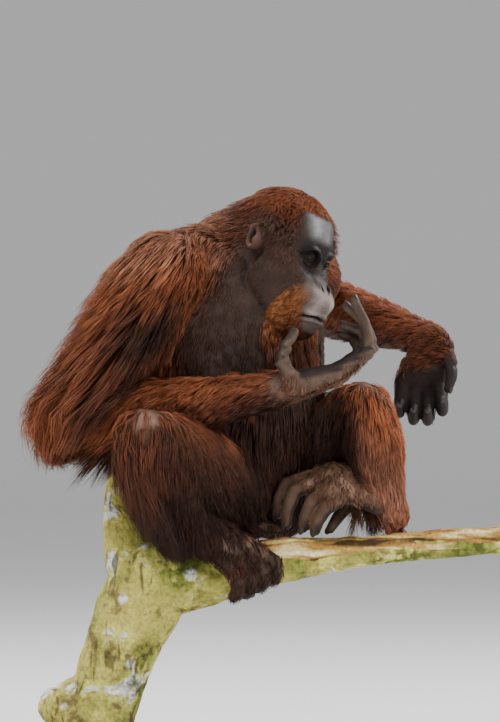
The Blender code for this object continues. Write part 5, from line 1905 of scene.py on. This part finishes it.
def bark_material():
    look = settings()
    shader = Shader("bark", roughness=0.9, Specular_IOR_Level=0.2)
    base = tuple(look.bark_base)
    pale = tuple(look.bark_pale)
    worn, branch, _ = shader.channels("wood")
    broad = shader.noise(7.0, 5.0, distortion=0.3)
    patches = shader.noise(15.0, 6.0, distortion=0.6)
    blots = shader.noise(24.0, 6.0, distortion=0.4)
    fine = shader.noise(170.0, 4.0)
    specks = shader.noise(75.0, 5.0)
    upright = shader.noise(52.0, 5.0, stretch=(1.0, 1.0, 0.24), distortion=0.6)
    lengthwise = shader.noise(60.0, 5.0, stretch=(0.14, 1.0, 1.0), distortion=0.4)
    green = tuple(value * factor for value, factor in zip(base, (0.28, 0.40, 0.24)))
    light = tuple(value * factor for value, factor in zip(base, (1.28, 1.34, 1.35)))
    colour = shader.mix(broad.between(0.34, 0.58), green, base)
    colour = shader.mix(patches.between(0.46, 0.62), colour, light)
    blotted = blots.between(0.52, 0.62) * specks.between(0.36, 0.54)
    colour = shader.mix(blotted * 0.75 * (1.0 - branch * 0.4), colour, (0.150, 0.100, 0.045))
    lichen = patches.between(0.575, 0.62) * specks.between(0.36, 0.46)
    spots = 1.0 - shader.cells(15.0).between(0.10, 0.21)
    lichen = (lichen + spots * specks.between(0.34, 0.46)).clamp()
    colour = shader.mix(lichen * 0.95, colour, pale)
    moss = broad.between(0.50, 0.38) * specks.between(0.46, 0.58)
    colour = shader.mix(moss * 0.75, colour, (0.070, 0.080, 0.018))
    stain = (specks.between(0.60, 0.68) * 0.5 + upright.between(0.57, 0.66) * 0.9).clamp()
    colour = shader.mix(stain * (1.0 - branch * 0.6) * 0.85, colour, (0.075, 0.052, 0.024))
    rot = shader.ramp(lengthwise, ((0.36, (0.050, 0.030, 0.014)), (0.45, (0.320, 0.175, 0.042)),
                                   (0.54, (0.520, 0.330, 0.095)), (0.64, (0.850, 0.730, 0.420))))
    colour = shader.mix((worn * (0.35 + lengthwise)).between(0.30, 0.55), colour, rot)
    shade = shader.ramp(fine, ((0.30, (0.66, 0.64, 0.62)), (0.70, (1.12, 1.12, 1.10))))
    shader.feed("Base Color", shader.mix(1.0, colour, shade, "MULTIPLY"))
    grain = upright * (1.0 - branch) + lengthwise * branch
    shader.bump(grain * 1.3 + fine * 0.35 + specks * 0.6 + lichen * 0.3, 0.0060, 1.0)
    return shader


def roughness_of_wood(place):
    """How far the wood stands out at a place: swells, and ridges that run with the grain."""
    on_branch = min(max((place.x + 0.03) / 0.09, 0.0), 1.0)
    swell = noise.fractal(place * 20.0, 0.9, 2.1, 3) * 0.0030
    upright = noise.fractal(Vector((place.x * 65.0, place.y * 65.0, place.z * 14.0)), 0.8, 2.0, 3)
    length = noise.fractal(Vector((place.x * 11.0, place.y * 85.0, place.z * 85.0)), 0.8, 2.0, 3)
    return swell + upright * 0.0011 * (1.0 - on_branch) + length * 0.0024 * on_branch - 0.0015


def build_perch():
    """Trunk, branch and stub as one piece of wood with swells, ridges and sawn ends."""
    hulls = limb(TRUNK) + limb(BRANCH) + limb(STUB)
    hulls.append(ball(KNOT, KNOT_RADIUS) + ball(TRUNK[1][0], KNOT_SEAT))
    perch = rounded("perch", hulls, WOOD_GRAIN)
    soften(perch, 4)
    places = points_of(perch)
    out = np.array([roughness_of_wood(Vector(place)) for place in places])
    set_points(perch, places + normals_of(perch) * out[:, None])
    shape = bmesh.new()
    shape.from_mesh(perch.data)
    everything = shape.verts[:] + shape.edges[:] + shape.faces[:]
    cut = bmesh.ops.bisect_plane(shape, geom=everything, dist=1e-6,
                                 plane_co=(0.0, 0.0, TRUNK_END), plane_no=(0.0, 0.0, -1.0),
                                 clear_outer=True)
    rim = [item for item in cut["geom_cut"] if isinstance(item, bmesh.types.BMEdge)]
    bmesh.ops.holes_fill(shape, edges=rim, sides=0)
    bmesh.ops.recalc_face_normals(shape, faces=shape.faces)
    shape.to_mesh(perch.data)
    shape.free()
    places = points_of(perch)
    branch = soft_step(places[:, 0], -0.03, 0.06)
    worn = soft_step(places[:, 0], 0.02, 0.12) * soft_step(normals_of(perch)[:, 2], -0.30, 0.30)
    paint(perch, "wood", np.column_stack([worn, branch, branch]))
    perch.data.shade_smooth()
    finish_piece(perch, bark_material(), "bark", "perch_trunk", "perch_branch", "perch_stub")


def stand_materials():
    plate = Shader("dark coated plate", roughness=0.5)
    grain = plate.noise(900.0, 2.0)
    plate.feed("Base Color", plate.mix(grain, (0.030, 0.030, 0.032), (0.055, 0.055, 0.058)))
    plate.bump(grain, 0.0003, 0.4)
    rod = Shader("brushed steel", roughness=0.3, metallic=1.0)
    lines = rod.noise(300.0, 3.0, stretch=(1.0, 1.0, 12.0))
    rod.feed("Base Color", rod.mix(lines, (0.42, 0.42, 0.43), (0.62, 0.62, 0.63)))
    rod.feed("Roughness", 0.22 + 0.2 * lines)
    return plate, rod


def finish_stand():
    """Better finishes on the base and the rods, and a collar where each rod is screwed down."""
    plate, rod = stand_materials()
    for name, shader in (("stand_base", plate), ("stand_rod_1", rod), ("stand_rod_2", rod)):
        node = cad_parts[name]
        for number in range(len(node.material_slots)):
            node.material_slots[number].material = shader.material
    whole = bmesh.new()
    for name in ("stand_rod_1", "stand_rod_2"):
        low, high = (Vector(corner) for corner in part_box(name))
        middle = (low + high) / 2
        radius = (high.x - low.x) / 2
        shape = bmesh.new()
        bmesh.ops.create_cone(shape, cap_ends=True, segments=48, depth=0.008,
                              radius1=radius * 2.0, radius2=radius * 1.7)
        bmesh.ops.translate(shape, verts=shape.verts, vec=(middle.x, middle.y, low.z + 0.004))
        join_into(whole, shape)
    collars = new_object("stand_collars", mesh_of(whole))
    collars.data.shade_smooth()
    collars.data.set_sharp_from_angle(angle=math.radians(35))
    finish_piece(collars, rod, "stand_rod")


# Stage


def lamp(name, place, aim, size, power, colour=(1.0, 1.0, 1.0)):
    light = bpy.data.lights.new(name, "AREA")
    light.shape = "DISK"
    light.size = size
    light.energy = power
    light.color = colour
    made = bpy.data.objects.new(name, light)
    made.location = place
    made.rotation_euler = (Vector(aim) - Vector(place)).to_track_quat("-Z", "Y").to_euler()
    bpy.context.scene.collection.objects.link(made)


# The photograph's frame at the animal: its width in metres, its middle and its tall side
FRAME_WIDTH = 0.825
FRAME_PIXELS = (500, 722)
FRAME_MIDDLE = Vector((0.099, 0.0, 0.6957))
SENSOR = 36.0


# The floor: how far it is flat, how it curves up to a low wall all round, and its turns
FLOOR_FLAT = 11.0
FLOOR_CURVE = 3.0
WALL_TOP = 4.5
FLOOR_TURNS = 96


def build_stage():
    shape = bmesh.new()
    profile = [(0.0, 0.0), (FLOOR_FLAT, 0.0)]
    for step in range(1, 13):
        angle = math.radians(90.0 * step / 12)
        profile.append((FLOOR_FLAT + FLOOR_CURVE * math.sin(angle),
                        FLOOR_CURVE * (1.0 - math.cos(angle))))
    profile.append((FLOOR_FLAT + FLOOR_CURVE, WALL_TOP))
    corners = [shape.verts.new((across, 0.0, height)) for across, height in profile]
    lines = [shape.edges.new(pair) for pair in zip(corners, corners[1:])]
    bmesh.ops.spin(shape, geom=corners + lines, cent=(0.0, 0.0, 0.0), axis=(0.0, 0.0, 1.0),
                   angle=math.tau, steps=FLOOR_TURNS, use_merge=True)
    bmesh.ops.remove_doubles(shape, verts=shape.verts, dist=1e-4)
    bmesh.ops.recalc_face_normals(shape, faces=shape.faces)
    floor = new_object("floor", mesh_of(shape))
    floor.data.shade_smooth()
    shader = Shader("pale floor", roughness=0.8)
    shader.surface.inputs["Base Color"].default_value = (0.80, 0.80, 0.79, 1.0)
    floor.data.materials.append(shader.material)
    world = bpy.data.worlds.new("soft room")
    world.use_nodes = True
    background = world.node_tree.nodes["Background"]
    background.inputs["Color"].default_value = (0.90, 0.91, 0.92, 1.0)
    background.inputs["Strength"].default_value = 0.62
    bpy.context.scene.world = world
    aim = (0.1, 0.0, 0.65)
    lamp("key", (-1.6, -2.0, 3.2), aim, 1.6, 120.0)
    lamp("fill", (2.6, -2.0, 0.9), aim, 1.4, 64.0)
    lamp("rim left", (-1.8, 1.8, 2.8), aim, 1.2, 80.0)
    lamp("rim right", (2.4, 1.2, 2.6), aim, 1.2, 115.0)
    camera = bpy.data.cameras.new("camera")
    camera.sensor_width = SENSOR
    frame_height = FRAME_WIDTH * FRAME_PIXELS[1] / FRAME_PIXELS[0]
    camera.lens = SENSOR * settings().camera_away / frame_height
    made = bpy.data.objects.new("camera", camera)
    made.location = FRAME_MIDDLE - Vector((0.0, settings().camera_away, 0.0))
    made.rotation_euler = (math.radians(90), 0.0, 0.0)
    bpy.context.scene.collection.objects.link(made)
    bpy.context.scene.camera = made


FLESH_NODES = ["head", "neck", "chest", "belly", "ear_right", "ear_left"]
for _side in ("right", "left"):
    FLESH_NODES += [f"{_part}_{_side}" for _part in ("upper_arm", "forearm", "thigh", "shin")]
    FLESH_NODES += [f"hand_{_side}_{_part}" for _part in ("palm", *RIGHT_HAND)]
    FLESH_NODES += [f"foot_{_side}_{_part}" for _part in ("sole", *RIGHT_FOOT)]


# Operators


class ORANGUTAN_OT_skin(bpy.types.Operator):
    """Build the skin, which takes the place of the solids of flesh"""
    bl_idname = "orangutan.skin"
    bl_label = "Skin"

    def execute(self, context):
        skin = build_skin()
        unwrap(skin)
        paint(skin, "tone", skin_tone(points_of(skin), normals_of(skin)))
        skin.data.shade_smooth()
        finish_piece(skin, skin_material(), "skin", *FLESH_NODES)
        return {"FINISHED"}


class ORANGUTAN_OT_coat(bpy.types.Operator):
    """Grow the coat on the skin"""
    bl_idname = "orangutan.coat"
    bl_label = "Coat"

    def execute(self, context):
        build_coat(bpy.data.objects["skin"])
        return {"FINISHED"}


class ORANGUTAN_OT_eyes(bpy.types.Operator):
    """Put in the eyes"""
    bl_idname = "orangutan.eyes"
    bl_label = "Eyes"

    def execute(self, context):
        build_eyes()
        return {"FINISHED"}


class ORANGUTAN_OT_nails(bpy.types.Operator):
    """Put on the nails"""
    bl_idname = "orangutan.nails"
    bl_label = "Nails"

    def execute(self, context):
        build_nails(bpy.data.objects["skin"])
        return {"FINISHED"}


class ORANGUTAN_OT_perch(bpy.types.Operator):
    """Build the fork of wood"""
    bl_idname = "orangutan.perch"
    bl_label = "Perch"

    def execute(self, context):
        build_perch()
        return {"FINISHED"}


class ORANGUTAN_OT_stand(bpy.types.Operator):
    """Finish the display stand"""
    bl_idname = "orangutan.stand"
    bl_label = "Stand"

    def execute(self, context):
        finish_stand()
        return {"FINISHED"}


class ORANGUTAN_OT_stage(bpy.types.Operator):
    """Set up the floor, the lights and the camera"""
    bl_idname = "orangutan.stage"
    bl_label = "Stage"

    def execute(self, context):
        build_stage()
        return {"FINISHED"}


STEPS = (ORANGUTAN_OT_stage, ORANGUTAN_OT_skin, ORANGUTAN_OT_coat, ORANGUTAN_OT_eyes,
         ORANGUTAN_OT_nails, ORANGUTAN_OT_perch, ORANGUTAN_OT_stand)


class ORANGUTAN_PT_panel(bpy.types.Panel):
    """Lists the sizes, the colours and the steps"""
    bl_label = "Orangutan"
    bl_space_type = "VIEW_3D"
    bl_region_type = "UI"
    bl_category = "Orangutan"

    def draw(self, context):
        for name in OrangutanSettings.__annotations__:
            self.layout.prop(context.scene.orangutan, name)
        for step in STEPS:
            self.layout.operator(step.bl_idname)


CLASSES = (OrangutanSettings, *STEPS, ORANGUTAN_PT_panel)


def register():
    for kind in CLASSES:
        bpy.utils.register_class(kind)
    bpy.types.Scene.orangutan = PointerProperty(type=OrangutanSettings)


def unregister():
    del bpy.types.Scene.orangutan
    for kind in reversed(CLASSES):
        bpy.utils.unregister_class(kind)


def main():
    register()
    for step in STEPS:
        group, name = step.bl_idname.split(".")
        getattr(getattr(bpy.ops, group), name)()


if __name__ == "__main__":
    main()
